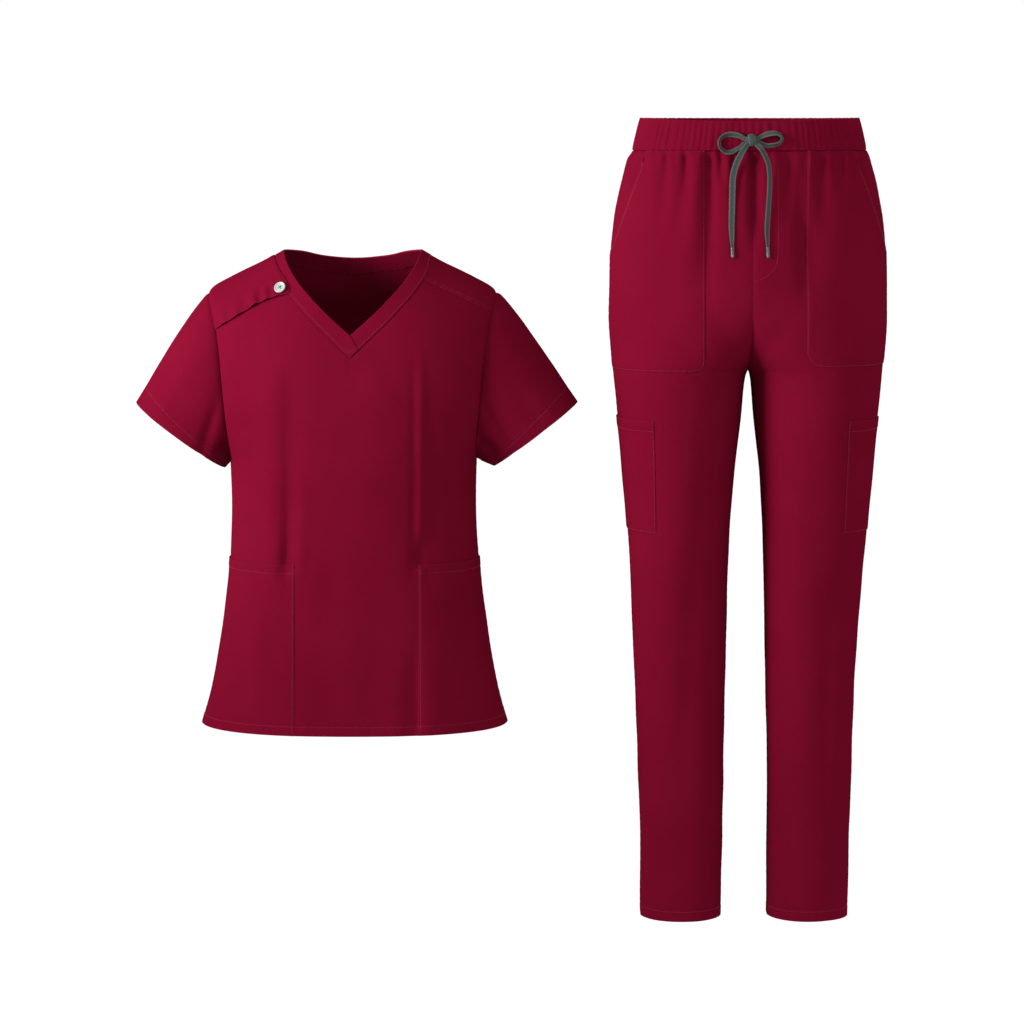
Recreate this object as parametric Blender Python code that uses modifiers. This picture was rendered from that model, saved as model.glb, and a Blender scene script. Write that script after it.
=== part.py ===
"""Medical scrubs: a V-neck top beside drawstring trousers, both filled out as worn, with no wearer.

Metres, +Z up, fronts facing -Y. The origin is at the top's shoulders, level with its neck points, and x = 0 is its
middle. Left and right are as seen from the front. Every panel is a wall of cloth about its middle surface, worked
out from the section tables below; half widths and depths are measured from each garment's own middle.
"""

import math

import bmesh
import bpy
import numpy as np
from mathutils import Matrix, Vector

CLOTH = 0.0012  # one layer of cloth
BAND_CLOTH = 0.0024  # the folded neckband
WAIST_CLOTH = 0.0030  # the folded waistband with its elastic
SEAM = 0.0003  # between pieces that are sewn edge to edge
ARMHOLE_SEAM = (0.0008, 0.0022)  # at the shoulder and under the arm, where the sleeve turns sharply away
BAND_SEAM = 0.0006  # between the folded neckband and the thinner panel
YOKE_CUT = 0.0004  # either side of the yoke's seam
LAYER = 0.0004  # between a panel and what is sewn on it
FLAP_LIFT = BAND_CLOTH / 2 + LAYER + CLOTH / 2  # from the panel's middle surface, as the flap laps the neckband
BEYOND = 0.30  # past any edge, for outlines that end at a panel's own edge

FRONT, BACK = -1, 1
LEFT, RIGHT = -1, 1
SIDE_NAMES = {LEFT: "left", RIGHT: "right"}

GREY_CORD = (0.075, 0.085, 0.080, 1.0)
WINE = (0.150, 0.008, 0.030, 1.0)
BUTTON_WHITE = (0.75, 0.76, 0.72, 1.0)


def table(names, rows):
    """A table of numbers by column name."""
    return dict(zip(names, np.array(rows, float).T))


def curve(keys, values):
    """A smooth curve through points, which never overshoots them."""
    order = np.argsort(keys)
    keys, values = np.asarray(keys, float)[order], np.asarray(values, float)[order]
    steps = np.diff(keys)
    slopes = np.diff(values) / steps
    tangents = np.concatenate([slopes[:1], np.zeros(len(slopes) - 1), slopes[-1:]])
    same_way = slopes[:-1] * slopes[1:] > 0
    both = np.where(same_way, slopes[:-1] + slopes[1:], 1.0)
    tangents[1:-1] = np.where(same_way, 2 * slopes[:-1] * slopes[1:] / both, 0.0)

    def at(key):
        key = np.clip(key, keys[0], keys[-1])
        i = np.clip(np.searchsorted(keys, key) - 1, 0, len(steps) - 1)
        t = (key - keys[i]) / steps[i]
        ends = values[i] * (1 + 2 * t) * (1 - t) ** 2 + values[i + 1] * t * t * (3 - 2 * t)
        bends = tangents[i] * t * (1 - t) ** 2 + tangents[i + 1] * t * t * (t - 1)
        return ends + steps[i] * bends

    return at


def signed_power(value, power):
    return np.sign(value) * np.abs(value) ** power


def folds_at(folds, x, z):
    """How far the folds of a table push the cloth in at x, z: each is a soft trough that fades at its two ends."""
    total = np.zeros_like(x * z)
    for i in range(len(folds["depth"])):
        middle = folds["x_top"][i] + (folds["x_bottom"][i] - folds["x_top"][i]) * (
            (folds["top"][i] - z) / (folds["top"][i] - folds["bottom"][i])
        )
        along = np.clip((z - folds["bottom"][i]) / (folds["top"][i] - folds["bottom"][i]), 0, 1)
        fade = np.sin(math.pi * along ** folds["lean"][i]) ** 0.7
        total = total + folds["depth"][i] * fade * np.exp(-(((x - middle) / folds["width"][i]) ** 2))
    return total


# ---------------------------------------------------------------- the top

TOP_BODY = table(
    ("height", "half_width", "front", "back"),
    [
        (-0.604, 0.194, 0.127, 0.120),
        (-0.557, 0.181, 0.122, 0.114),
        (-0.479, 0.168, 0.116, 0.103),
        (-0.402, 0.159, 0.112, 0.095),
        (-0.319, 0.155, 0.114, 0.096),
        (-0.262, 0.156, 0.118, 0.102),
        (-0.190, 0.162, 0.117, 0.108),
        (-0.096, 0.172, 0.105, 0.106),
        (-0.053, 0.182, 0.094, 0.097),
        (0.050, 0.192, 0.080, 0.084),
    ],
)
TOP_FULLNESS = 2.35  # 2 would make the section an ellipse, and more is squarer
HEM = TOP_BODY["height"][0]
UNDERARM = -0.262
ARMHOLE_ROUND = 0.085  # height over which the armhole's lower end curves in
ARMHOLE_DEPTH = {FRONT: 0.060, BACK: 0.064}
SHOULDER_DROP = 0.120  # height over which the front and back curve up to the shoulder seam
SHOULDER_ROUND = 2.2

SHOULDER = table(
    ("x", "height"),
    [
        (0.000, 0.045),
        (0.060, 0.014),
        (0.087, 0.000),
        (0.0985, -0.0065),
        (0.114, -0.015),
        (0.135, -0.025),
        (0.156, -0.0355),
        (0.174, -0.0455),
        (0.183, -0.053),
        (0.200, -0.072),
    ],
)
NECK_FRONT = table(
    ("outer_x", "outer_z", "inner_x", "inner_z"),
    [
        (0.0000, -0.1300, 0.0000, -0.1020),
        (0.0418, -0.0908, 0.0280, -0.0770),
        (0.0650, -0.0665, 0.0510, -0.0540),
        (0.0820, -0.0470, 0.0680, -0.0345),
        (0.0950, -0.0258, 0.0800, -0.0160),
        (0.0985, -0.0065, 0.0870, 0.0000),
    ],
)
NECK_BACK = table(
    ("outer_x", "outer_z", "inner_x", "inner_z"),
    [
        (0.0000, -0.0325, 0.0000, -0.0123),
        (0.0450, -0.0290, 0.0400, -0.0088),
        (0.0780, -0.0200, 0.0650, -0.0030),
        (0.0985, -0.0065, 0.0870, 0.0000),
    ],
)
NECK = {FRONT: NECK_FRONT, BACK: NECK_BACK}
BAND_LAP = 0.0105  # how far the left band runs across the point of the V

TOP_FOLDS = table(
    ("x_top", "x_bottom", "top", "bottom", "width", "depth", "lean"),
    [
        (-0.076, -0.086, -0.170, -0.400, 0.013, 0.0070, 1.8),
        (0.076, 0.090, -0.190, -0.600, 0.013, 0.0070, 1.2),
    ],
)

TOP_LOW_ROWS = (HEM, -0.535, -0.460, -0.390, -0.325, UNDERARM)
TOP_HIGH_ROWS = (0.05, 0.15, 0.31, 0.48, 0.63, 0.76, 0.86, 0.93, 0.98, 1.0)  # shares of the way up to the shoulder
TOP_ACROSS = (0, 0.12, 0.24, 0.36, 0.48, 0.59, 0.69, 0.79, 0.90, 1)  # columns, from the middle to the side edge

half_width_at = curve(TOP_BODY["height"], TOP_BODY["half_width"])
depth_at = {
    FRONT: curve(TOP_BODY["height"], TOP_BODY["front"]),
    BACK: curve(TOP_BODY["height"], TOP_BODY["back"]),
}
shoulder_at = curve(SHOULDER["x"], SHOULDER["height"])


def torso_section(z, side):
    """Half width, depth and the angle of the side edge of the section at a height."""
    depth = depth_at[side](z)
    rise = np.clip((z - UNDERARM) / ARMHOLE_ROUND, 0, 1)
    edge_depth = ARMHOLE_DEPTH[side] * np.sqrt(1 - (1 - rise) ** 2)
    share = (1 - (edge_depth / depth) ** TOP_FULLNESS) ** (1 / TOP_FULLNESS)
    return half_width_at(z) / share, depth, np.arcsin(share ** (TOP_FULLNESS / 2))


def shoulder_closing(x, z):
    """1 on the chest, falling to 0 at the shoulder seam, where front and back meet."""
    t = np.clip((shoulder_at(np.abs(x)) - z) / SHOULDER_DROP, 0, 1)
    return (1 - (1 - t) ** SHOULDER_ROUND) ** (1 / SHOULDER_ROUND)


def torso_y(x, z, side):
    """How far the cloth is in front of or behind the middle at x, z."""
    width, depth, _ = torso_section(z, side)
    bulge = (1 - np.clip(np.abs(x) / width, 0, 1) ** TOP_FULLNESS) ** (1 / TOP_FULLNESS)
    y = depth * bulge * shoulder_closing(x, z)
    if side == FRONT:
        y = y - folds_at(TOP_FOLDS, x, z)
    return side * y


def torso_x(across, z, side):
    width, _, angle = torso_section(z, side)
    return width * np.sin(across * angle) ** (2 / TOP_FULLNESS)


def torso_top(across, side):
    """Height at which a column of the body panel reaches the shoulder seam, or its line drawn on to the middle."""
    low, high = UNDERARM, float(shoulder_at(0.0))
    for _ in range(40):
        middle = (low + high) / 2
        below = middle < shoulder_at(torso_x(across, middle, side))
        low, high = (middle, high) if below else (low, middle)
    return low


def torso_grid(side):
    """Points of the front or back, with no neck cut out: rows from the hem up, columns from the viewer's left."""
    grid = []
    for across in TOP_ACROSS:
        top = torso_top(across, side)
        heights = list(TOP_LOW_ROWS) + [UNDERARM + share * (top - UNDERARM) for share in TOP_HIGH_ROWS]
        column = []
        for z in heights:
            x = float(torso_x(across, z, side))
            column.append((x, float(edge_or_surface_y(across, x, z, side)), z))
        grid.append(column)
    right = np.array(grid).transpose(1, 0, 2)
    left = right[:, :0:-1] * (-1, 1, 1)
    if side == FRONT:
        left[..., 1] = torso_y(left[..., 0], left[..., 2], side)
        left[:, 0, 1] = right[:, -1, 1]
    return np.concatenate([left, right], axis=1)


def edge_or_surface_y(across, x, z, side):
    """The side edge takes its depth from the section itself, where the surface is too steep to read from x."""
    if across < 1:
        return torso_y(x, z, side)
    _, depth, angle = torso_section(z, side)
    y = depth * math.cos(angle) ** (2 / TOP_FULLNESS) * shoulder_closing(x, z)
    return side * y


SLEEVES = table(
    ("outer_x", "outer_z", "inner_x", "inner_z"),
    [
        (-0.2768, -0.1933, -0.1660, -0.2753),
        (0.2845, -0.1933, 0.1785, -0.2740),
    ],
)
SLEEVE_DEPTH = 0.056
SLEEVE_BULGE = 0.004
SLEEVE_ROWS = 3


def sleeve_grid(front, back, row):
    """A loft from the armhole's own points to the sleeve's opening, an ellipse across the arm."""
    side = -1 if SLEEVES["outer_x"][row] < 0 else 1
    edge = 0 if side < 0 else -1
    first = len(TOP_LOW_ROWS) - 1
    front_edge, back_edge = front[first:, edge][::-1], back[first:, edge]
    armhole = np.concatenate([front_edge, back_edge[1:-1]])
    armhole[0, 1] = 0.0
    armhole[len(front_edge) - 1, 1] = 0.0
    along = np.concatenate([[0], np.cumsum(np.linalg.norm(np.diff(front_edge, axis=0), axis=1))])
    back_along = np.concatenate([[0], np.cumsum(np.linalg.norm(np.diff(back_edge, axis=0), axis=1))])
    angles = np.concatenate(
        [math.pi * along / along[-1], math.pi + math.pi * back_along[1:-1] / back_along[-1]]
    )
    outer = np.array([SLEEVES["outer_x"][row], 0, SLEEVES["outer_z"][row]])
    inner = np.array([SLEEVES["inner_x"][row], 0, SLEEVES["inner_z"][row]])
    opening = (
        (outer + inner) / 2
        + np.outer(np.cos(angles), (outer - inner) / 2)
        - np.outer(np.sin(angles), (0, SLEEVE_DEPTH, 0))
    )
    reach = np.linalg.norm(opening - armhole, axis=1)[:, None]
    outward = np.outer(np.cos(angles), (outer - inner) / np.linalg.norm(outer - inner))
    outward = outward - np.outer(np.sin(angles), (0, 1, 0))
    low = (1 - np.cos(angles))[:, None] / 2
    rows = []
    for t in np.linspace(0, 1, SLEEVE_ROWS + 1):
        start = (ARMHOLE_SEAM[0] + (ARMHOLE_SEAM[1] - ARMHOLE_SEAM[0]) * low) / reach
        share = start + (1 - start) * t
        bulge = SLEEVE_BULGE * math.sin(math.pi * t**0.7) * np.minimum(1, reach / 0.1)
        rows.append(armhole * (1 - share) + opening * share + outward * bulge)
    grid = np.array(rows)
    return grid if side > 0 else grid[:, ::-1]


def past_end(points, reach=0.03):
    """A line of points, drawn on beyond its last one."""
    (x0, z0), (x1, z1) = points[-2:]
    length = math.hypot(x1 - x0, z1 - z0)
    return list(points) + [(x1 + (x1 - x0) * reach / length, z1 + (z1 - z0) * reach / length)]


def neck_line(side, edge, shift=0.0):
    """The outer or inner edge of the neckband, from the middle past the shoulder seam, moved out into the panel."""
    line = np.stack([NECK[side][f"{edge}_x"], NECK[side][f"{edge}_z"]], axis=1)
    steps = np.gradient(line, axis=0)
    steps = steps / np.linalg.norm(steps, axis=1)[:, None]
    moved = line + shift * np.stack([steps[:, 1], -steps[:, 0]], axis=1)
    # The first stretch is drawn back to the middle, so that the two halves meet in one point.
    moved[0] = moved[1] + (moved[0] - moved[1]) * (moved[1, 0] / (moved[1, 0] - moved[0, 0]))
    return past_end([(float(x), float(z)) for x, z in moved])


def neck_outline(side):
    """What is cut out of a panel for the neckband and the opening."""
    right = neck_line(side, "outer", BAND_SEAM / 2)
    return [(-x, z) for x, z in right[:0:-1]] + right + [(0.0, BEYOND)]


def band_outline(side, half):
    """One half of a front band, or the back one. The left front band runs across the point of the V."""
    outer, inner = neck_line(side, "outer", -BAND_SEAM / 2), neck_line(side, "inner")
    if side == BACK:
        return [(-x, z) for x, z in outer[:0:-1]] + outer + inner[::-1] + [(-x, z) for x, z in inner[1:]]
    (x0, z0), (x1, z1) = outer[:2]
    slope = (z1 - z0) / (x1 - x0)
    if half == LEFT:
        outer = [(-BAND_LAP, z0 + slope * BAND_LAP)] + outer
    else:
        lap_end = BAND_LAP + BAND_SEAM
        outer[0] = (lap_end, z0 + slope * lap_end)
        inner[0] = (inner[0][0] + BAND_SEAM / 2, inner[0][1] + BAND_SEAM / 2)
    return [(half * x, z) for x, z in outer + inner[::-1]]


# ---------------------------------------------------------------- the trousers

TROUSERS_X = 0.5015
TROUSER_BODY = table(
    ("height", "half_width", "front", "back"),
    [
        (-0.857, 0.1340, 0.054, 0.054),
        (-0.760, 0.1340, 0.055, 0.056),
        (-0.709, 0.1363, 0.057, 0.058),
        (-0.552, 0.1416, 0.064, 0.066),
        (-0.422, 0.1475, 0.073, 0.078),
        (-0.293, 0.1580, 0.088, 0.097),
        (-0.190, 0.1670, 0.100, 0.112),
        (-0.127, 0.1726, 0.106, 0.121),
        (-0.076, 0.1755, 0.108, 0.125),
        (-0.008, 0.1748, 0.106, 0.123),
        (0.038, 0.1706, 0.102, 0.117),
        (0.076, 0.1635, 0.097, 0.109),
        (0.101, 0.1570, 0.093, 0.103),
        (0.1165, 0.1520, 0.0905, 0.099),
        (0.1265, 0.1470, 0.0885, 0.096),
        (0.1668, 0.1366, 0.0865, 0.093),
    ],
)
LEG_GAP = table(
    ("height", "half_gap"),
    [
        (-0.857, 0.0305),
        (-0.709, 0.0297),
        (-0.552, 0.0270),
        (-0.422, 0.0237),
        (-0.293, 0.0173),
        (-0.216, 0.0102),
        (-0.165, 0.0060),
        (-0.154, 0.0036),
        (-0.1486, 0.0010),
    ],
)
TROUSER_FULLNESS = 2.15
CROTCH = -0.1486
WAIST_SEAM = 0.1265
WAIST_TOP = 0.1668
WAIST_DIP = 0.0035  # the waistband's top edge is lower at the front
TROUSER_HEM = -0.857
SLIT_TOP = -0.834
SLIT_ANGLE = math.radians(5)
RISE = {FRONT: 0.105, BACK: 0.135}  # height over which the centre seam curves under to the crotch
CROTCH_SWEEP = 1.2  # more than 1 starts that curve gently
TROUSER_ROWS = (
    (TROUSER_HEM, SLIT_TOP, -0.760, -0.640, -0.530, -0.430, -0.340, -0.260, -0.200, -0.160, CROTCH)
    + (-0.143, -0.126, -0.098, -0.055, 0.000, 0.050, 0.092)
)
FRONT_ACROSS = (0, 0.05, 0.14, 0.25, 0.37, 0.49, 0.61, 0.73, 0.84, 0.945, 1)
BACK_ACROSS = (0, 0.055, 0.19, 0.34, 0.50, 0.66, 0.81, 0.945, 1)
WAIST_COLUMNS = 32

TROUSER_FOLDS = table(
    ("x_top", "x_bottom", "top", "bottom", "width", "depth", "lean"),
    [
        (-0.086, -0.108, 0.130, 0.010, 0.012, 0.0040, 0.6),
        (-0.046, -0.048, 0.130, -0.040, 0.011, 0.0050, 0.6),
        (0.030, 0.058, 0.130, -0.020, 0.011, 0.0045, 0.7),
        (0.062, 0.088, 0.130, 0.030, 0.012, 0.0040, 0.6),
    ],
)

trouser_width_at = curve(TROUSER_BODY["height"], TROUSER_BODY["half_width"])
trouser_depth_at = {
    FRONT: curve(TROUSER_BODY["height"], TROUSER_BODY["front"]),
    BACK: curve(TROUSER_BODY["height"], TROUSER_BODY["back"]),
}
leg_gap_at = curve(LEG_GAP["height"], LEG_GAP["half_gap"])


def trouser_points(across, z, side, half):
    """Points of one trouser panel, across from its centre seam or inseam, 0, to its side seam, 1."""
    across = np.asarray(across, float)
    outer = float(trouser_width_at(z))
    depth = float(trouser_depth_at[side](z))
    split = float(np.clip((CROTCH + RISE[side] - z) / RISE[side], 0, 1)) ** CROTCH_SWEEP
    inner = float(leg_gap_at(z)) if z <= CROTCH else 0.0
    radius = (outer - inner) / (1 + split)
    centre = outer - radius
    start = -math.asin(min(1.0, centre / radius) ** (TROUSER_FULLNESS / 2))
    end = math.pi / 2 - SLIT_ANGLE * min(1.0, max(0.0, (SLIT_TOP - z) / (SLIT_TOP - TROUSER_HEM)))
    angle = start + across * (end - start)
    x = centre + radius * signed_power(np.sin(angle), 2 / TROUSER_FULLNESS)
    y = depth * np.abs(np.cos(angle)) ** (2 / TROUSER_FULLNESS)
    if side == FRONT:
        y = y - folds_at(TROUSER_FOLDS, x * half, z)
    return np.stack([TROUSERS_X + half * x, side * y, np.full_like(x, z)], axis=-1)


def trouser_grid(side, half):
    across = FRONT_ACROSS if side == FRONT else BACK_ACROSS
    top = WAIST_SEAM - SEAM / 2 - CLOTH / 2
    grid = np.array([trouser_points(across, z, side, half) for z in TROUSER_ROWS + (top,)])
    return grid if half > 0 else grid[:, ::-1]


def waistband_grid():
    rows = []
    for share in (0.0, 0.5, 1.0):
        row = []
        for angle in np.linspace(0, 2 * math.pi, WAIST_COLUMNS, endpoint=False):
            side = FRONT if math.cos(angle) > 0 else BACK
            dip = WAIST_DIP * share * max(0.0, math.cos(angle)) ** 2
            z = WAIST_SEAM + SEAM / 2 + share * (WAIST_TOP - WAIST_SEAM - SEAM / 2)
            x = trouser_width_at(z) * signed_power(math.sin(angle), 2 / TROUSER_FULLNESS)
            y = -trouser_depth_at[side](z) * signed_power(math.cos(angle), 2 / TROUSER_FULLNESS)
            row.append((TROUSERS_X + x, y, z - dip))
        rows.append(row)
    return np.array(rows)


# ---------------------------------------------------------------- outlines of what is sewn on

TOP_POCKET_MOUTH = -0.390
TOP_POCKET_INNER = {LEFT: 0.071, RIGHT: 0.084}

SHOULDER_FLAP = (
    (-0.2400, -0.1390),
    (-0.1647, -0.0975),
    (-0.1233, -0.0716),
    (-0.1001, -0.0584),
    (-0.0750, -0.0510),
    (-0.0800, -0.0350),
    (-0.0896, -0.0235),
    (-0.0985, -0.0065),
    (-0.1040, 0.0200),
    (-0.2400, 0.0200),
)
YOKE_SEAM = ((0.0900, -0.0350), (0.1800, -0.0775))

TROUSER_POCKETS = {
    LEFT: dict(inner=0.0600, bottom=-0.1480, corner=0.016, mouth_top=0.1318),
    RIGHT: dict(inner=0.0670, bottom=-0.1420, corner=0.022, mouth_top=0.1285),
}
MOUTH_FOOT = (0.1745, -0.001)
CARGO_TOP, CARGO_BOTTOM = -0.2105, -0.3540
CARGO_FRONT_X = (0.1220, 0.1175)  # the front edge at its top and foot, from the trousers' middle
CARGO_BACK_Y = 0.062


def arc(centre, radius, start, end, count):
    angles = np.radians(np.linspace(start, end, count))
    return [(centre[0] + radius * math.cos(a), centre[1] + radius * math.sin(a)) for a in angles]


def trouser_pocket_outline(half):
    """Front view, x from the trousers' middle: slanted mouth, rounded inner corner, open at the side seam."""
    size = TROUSER_POCKETS[half]
    corner = arc((size["inner"] + size["corner"], size["bottom"] + size["corner"]), size["corner"], 180, 270, 4)
    outline = [(size["inner"], WAIST_TOP)] + corner
    outline += [(BEYOND, size["bottom"]), (BEYOND, MOUTH_FOOT[1]), MOUTH_FOOT, (size["mouth_top"], WAIST_SEAM)]
    outline += [(size["mouth_top"], WAIST_TOP)]
    return [(TROUSERS_X + half * x, z) for x, z in outline]


def top_pocket_outline(half):
    inner = TOP_POCKET_INNER[half]
    corners = ((inner, HEM - BEYOND), (BEYOND, HEM - BEYOND), (BEYOND, TOP_POCKET_MOUTH), (inner, TOP_POCKET_MOUTH))
    return [(half * x, z) for x, z in corners]


def cargo_front_outline(half):
    corners = ((CARGO_FRONT_X[1], CARGO_BOTTOM), (BEYOND, CARGO_BOTTOM), (BEYOND, CARGO_TOP), (CARGO_FRONT_X[0], CARGO_TOP))
    return [(TROUSERS_X + half * x, z) for x, z in corners]


CARGO_BACK_OUTLINE = ((-BEYOND, -1), (CARGO_BACK_Y, -1), (CARGO_BACK_Y, 1), (-BEYOND, 1))  # side view, y and z


# ---------------------------------------------------------------- cloth from grids of points


def surface(grid, closed=False):
    """Triangles over a grid, rows upwards and columns to the right, so that they face whoever sees it so."""
    made = bmesh.new()
    points = [[made.verts.new(point) for point in row] for row in grid]
    columns = len(points[0])
    for lower, upper in zip(points, points[1:]):
        for i in range(columns if closed else columns - 1):
            j = (i + 1) % columns
            a, b, c, d = lower[i], lower[j], upper[j], upper[i]
            if (a.co - c.co).length <= (b.co - d.co).length:
                triangles = ((a, b, c), (a, c, d))
            else:
                triangles = ((a, b, d), (b, c, d))
            for triangle in triangles:
                made.faces.new(triangle)
    bmesh.ops.remove_doubles(made, verts=made.verts, dist=1e-6)
    return made


def inside(outline, u, v):
    crossed = False
    for (u0, v0), (u1, v1) in zip(outline, outline[1:] + outline[:1]):
        if (v0 > v) != (v1 > v) and u < u0 + (u1 - u0) * (v - v0) / (v1 - v0):
            crossed = not crossed
    return crossed


def cut_to(made, outline, view, keep_inside=True):
    """Cuts a surface along an outline seen from the front or the side, and keeps one part of it."""
    first = 0 if view == "front" else 1
    outline = list(outline)
    for (u0, v0), (u1, v1) in zip(outline, outline[1:] + outline[:1]):
        point, normal = Vector((0, 0, v0)), Vector((0, 0, u1 - u0))
        point[first], normal[first] = u0, -(v1 - v0)
        geometry = set()
        for face in made.faces:
            across, up = [v.co[first] for v in face.verts], [v.co.z for v in face.verts]
            apart = min(across) > max(u0, u1) or max(across) < min(u0, u1)
            if not (apart or min(up) > max(v0, v1) or max(up) < min(v0, v1)):
                geometry |= {face, *face.edges, *face.verts}
        bmesh.ops.bisect_plane(made, geom=list(geometry), dist=1e-7, plane_co=point, plane_no=normal)
    bmesh.ops.triangulate(made, faces=made.faces)
    gone = []
    for face in made.faces:
        middle = face.calc_center_median()
        if inside(outline, middle[first], middle[2]) != keep_inside:
            gone.append(face)
    bmesh.ops.delete(made, geom=gone, context="FACES")


def finish(name, colour, roughness):
    material = bpy.data.materials.new(name)
    material.use_nodes = True
    shader = material.node_tree.nodes["Principled BSDF"]
    shader.inputs["Base Color"].default_value = colour
    shader.inputs["Roughness"].default_value = roughness
    return material


def place(name, mesh, material, collection):
    made = bpy.data.objects.new(name, mesh)
    mesh.materials.append(material)
    mesh.shade_smooth()
    mesh.set_sharp_from_angle(angle=math.radians(40))
    collection.objects.link(made)
    return made


def cloth(name, made, material, collection, thickness=CLOTH, seams=()):
    """A wall about a surface, trimmed at its seam planes, each a point and the direction it is trimmed away in."""
    mesh = bpy.data.meshes.new(name)
    made.to_mesh(mesh)
    made.free()
    piece = place(name, mesh, material, collection)
    wall = piece.modifiers.new("wall", "SOLIDIFY")
    wall.thickness = thickness
    wall.offset = 0.0
    wall.use_even_offset = True
    if not seams:
        return
    bpy.context.view_layer.update()
    walled = bmesh.new()
    walled.from_object(piece, bpy.context.evaluated_depsgraph_get())
    piece.modifiers.remove(wall)
    for point, outward in seams:
        geometry = walled.verts[:] + walled.edges[:] + walled.faces[:]
        bmesh.ops.bisect_plane(
            walled, geom=geometry, dist=1e-7, plane_co=point, plane_no=outward, clear_outer=True
        )
        bmesh.ops.holes_fill(walled, edges=[edge for edge in walled.edges if edge.is_boundary])
    bmesh.ops.triangulate(walled, faces=walled.faces)
    walled.to_mesh(mesh)
    walled.free()


def seam_at_sides(side):
    return ((0, side * SEAM / 2, 0), (0, -side, 0))


def seam_at_middle(half):
    return ((TROUSERS_X + half * SEAM / 2, 0, 0), (-half, 0, 0))


def lifted(grid, distance=CLOTH + LAYER):
    """A copy of a panel's surface, moved out so that one more layer of cloth fits on it."""
    made = surface(grid)
    made.normal_update()
    for vertex, out in [(v, v.normal * v.calc_shell_factor()) for v in made.verts]:
        vertex.co += out * distance
    return made


def joined_at_side(front, back, half):
    """Front and back trouser panels as one surface that runs round the side seam."""
    if half > 0:
        grid = np.concatenate([front[:, :-1], (front[:, -1:] + back[:, -1:]) / 2, back[:, -2::-1]], axis=1)
    else:
        grid = np.concatenate([back[:, :0:-1], (front[:, :1] + back[:, :1]) / 2, front[:, 1:]], axis=1)
    return grid


# ---------------------------------------------------------------- hard pieces and the drawstring

BUTTON_X, BUTTON_Z = -0.0868, -0.0462
BUTTON_RADIUS, BUTTON_THICK, BUTTON_EDGE = 0.0075, 0.0028, 0.0008
BUTTON_GAP = 0.0012  # the button stands on its thread over the curved flap
TAPE_WIDTH, TAPE_THICK = 0.0090, 0.0021
TAPE_SIDES = 8
TAPE_GAP = 0.0012  # between the tape and the cloth behind it
KNOT_X, KNOT_Z = TROUSERS_X - 0.0030, 0.1397
KNOT_SIZE = (0.0078, 0.0052, 0.0070)
AGLET_RADIUS, AGLET_LENGTH, AGLET_EDGE = 0.0024, 0.0140, 0.0006

# Routes of the flat drawstring, from the knot. Each row: x from the knot, z, how far it stands off the cloth, its tilt
# in degrees, where 0 lies flat and 90 stands on edge, and its width as a share of the whole, as it is pinched in places.
LOOP_ROUTES = {
    LEFT: (
        (-0.0098, 0.1418, 0.0020, 15, 0.55),
        (-0.0165, 0.1452, 0.0015, 25, 0.85),
        (-0.0265, 0.1465, 0.0005, 35, 1.0),
        (-0.0360, 0.1440, 0.0000, 55, 1.0),
        (-0.0405, 0.1362, 0.0000, 65, 1.0),
        (-0.0370, 0.1280, 0.0000, 60, 1.0),
        (-0.0285, 0.1243, 0.0000, 45, 1.0),
        (-0.0190, 0.1275, 0.0000, 25, 0.75),
        (-0.0112, 0.1340, 0.0010, 15, 0.50),
    ),
    RIGHT: (
        (0.0098, 0.1425, 0.0020, 15, 0.55),
        (0.0165, 0.1458, 0.0015, 25, 0.85),
        (0.0255, 0.1480, 0.0005, 40, 1.0),
        (0.0335, 0.1470, 0.0000, 60, 1.0),
        (0.0378, 0.1418, 0.0000, 70, 1.0),
        (0.0345, 0.1358, 0.0000, 60, 1.0),
        (0.0265, 0.1333, 0.0000, 45, 0.95),
        (0.0185, 0.1330, 0.0000, 25, 0.75),
        (0.0114, 0.1352, 0.0010, 15, 0.50),
    ),
}
TAIL_ROUTES = {
    LEFT: (
        (-0.0078, 0.1300, 0.0075, 10, 0.60),
        (-0.0125, 0.1235, 0.0075, 5, 0.85),
        (-0.0178, 0.1130, 0.0045, 0, 1.0),
        (-0.0222, 0.0990, 0.0012, 0, 1.0),
        (-0.0243, 0.0820, 0.0000, 0, 1.0),
        (-0.0248, 0.0560, 0.0000, 0, 1.0),
        (-0.0246, 0.0300, 0.0000, 0, 0.90),
        (-0.0238, 0.0085, 0.0000, 0, 0.52),
    ),
    RIGHT: (
        (0.0082, 0.1300, 0.0075, 10, 0.60),
        (0.0140, 0.1235, 0.0075, 30, 0.85),
        (0.0195, 0.1130, 0.0045, 40, 1.0),
        (0.0220, 0.0990, 0.0012, 42, 1.0),
        (0.0222, 0.0820, 0.0000, 40, 1.0),
        (0.0206, 0.0560, 0.0000, 40, 1.0),
        (0.0190, 0.0300, 0.0000, 30, 0.90),
        (0.0200, 0.0085, 0.0000, 15, 0.52),
    ),
}


def trouser_front_y(x, z):
    """The outer face of the cloth on the front, x from the trousers' middle."""
    width, depth = trouser_width_at(z), trouser_depth_at[FRONT](z)
    y = depth * (1 - np.clip(np.abs(x) / width, 0, 1) ** TROUSER_FULLNESS) ** (1 / TROUSER_FULLNESS)
    return -(y + np.where(z > WAIST_SEAM, WAIST_CLOTH, CLOTH) / 2)


def smooth_rows(rows, per_span=2):
    """More rows of a table, on smooth curves through its own."""
    rows = np.array(rows, float)
    ends = np.concatenate([2 * rows[:1] - rows[1:2], rows, 2 * rows[-1:] - rows[-2:-1]])
    made = []
    for a, b, c, d in zip(ends, ends[1:], ends[2:], ends[3:]):
        for t in np.arange(per_span) / per_span:
            made.append(0.5 * (2 * b + (c - a) * t + (2 * a - 5 * b + 4 * c - d) * t**2 + (3 * b - a - 3 * c + d) * t**3))
    return np.array(made + [rows[-1]])


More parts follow.
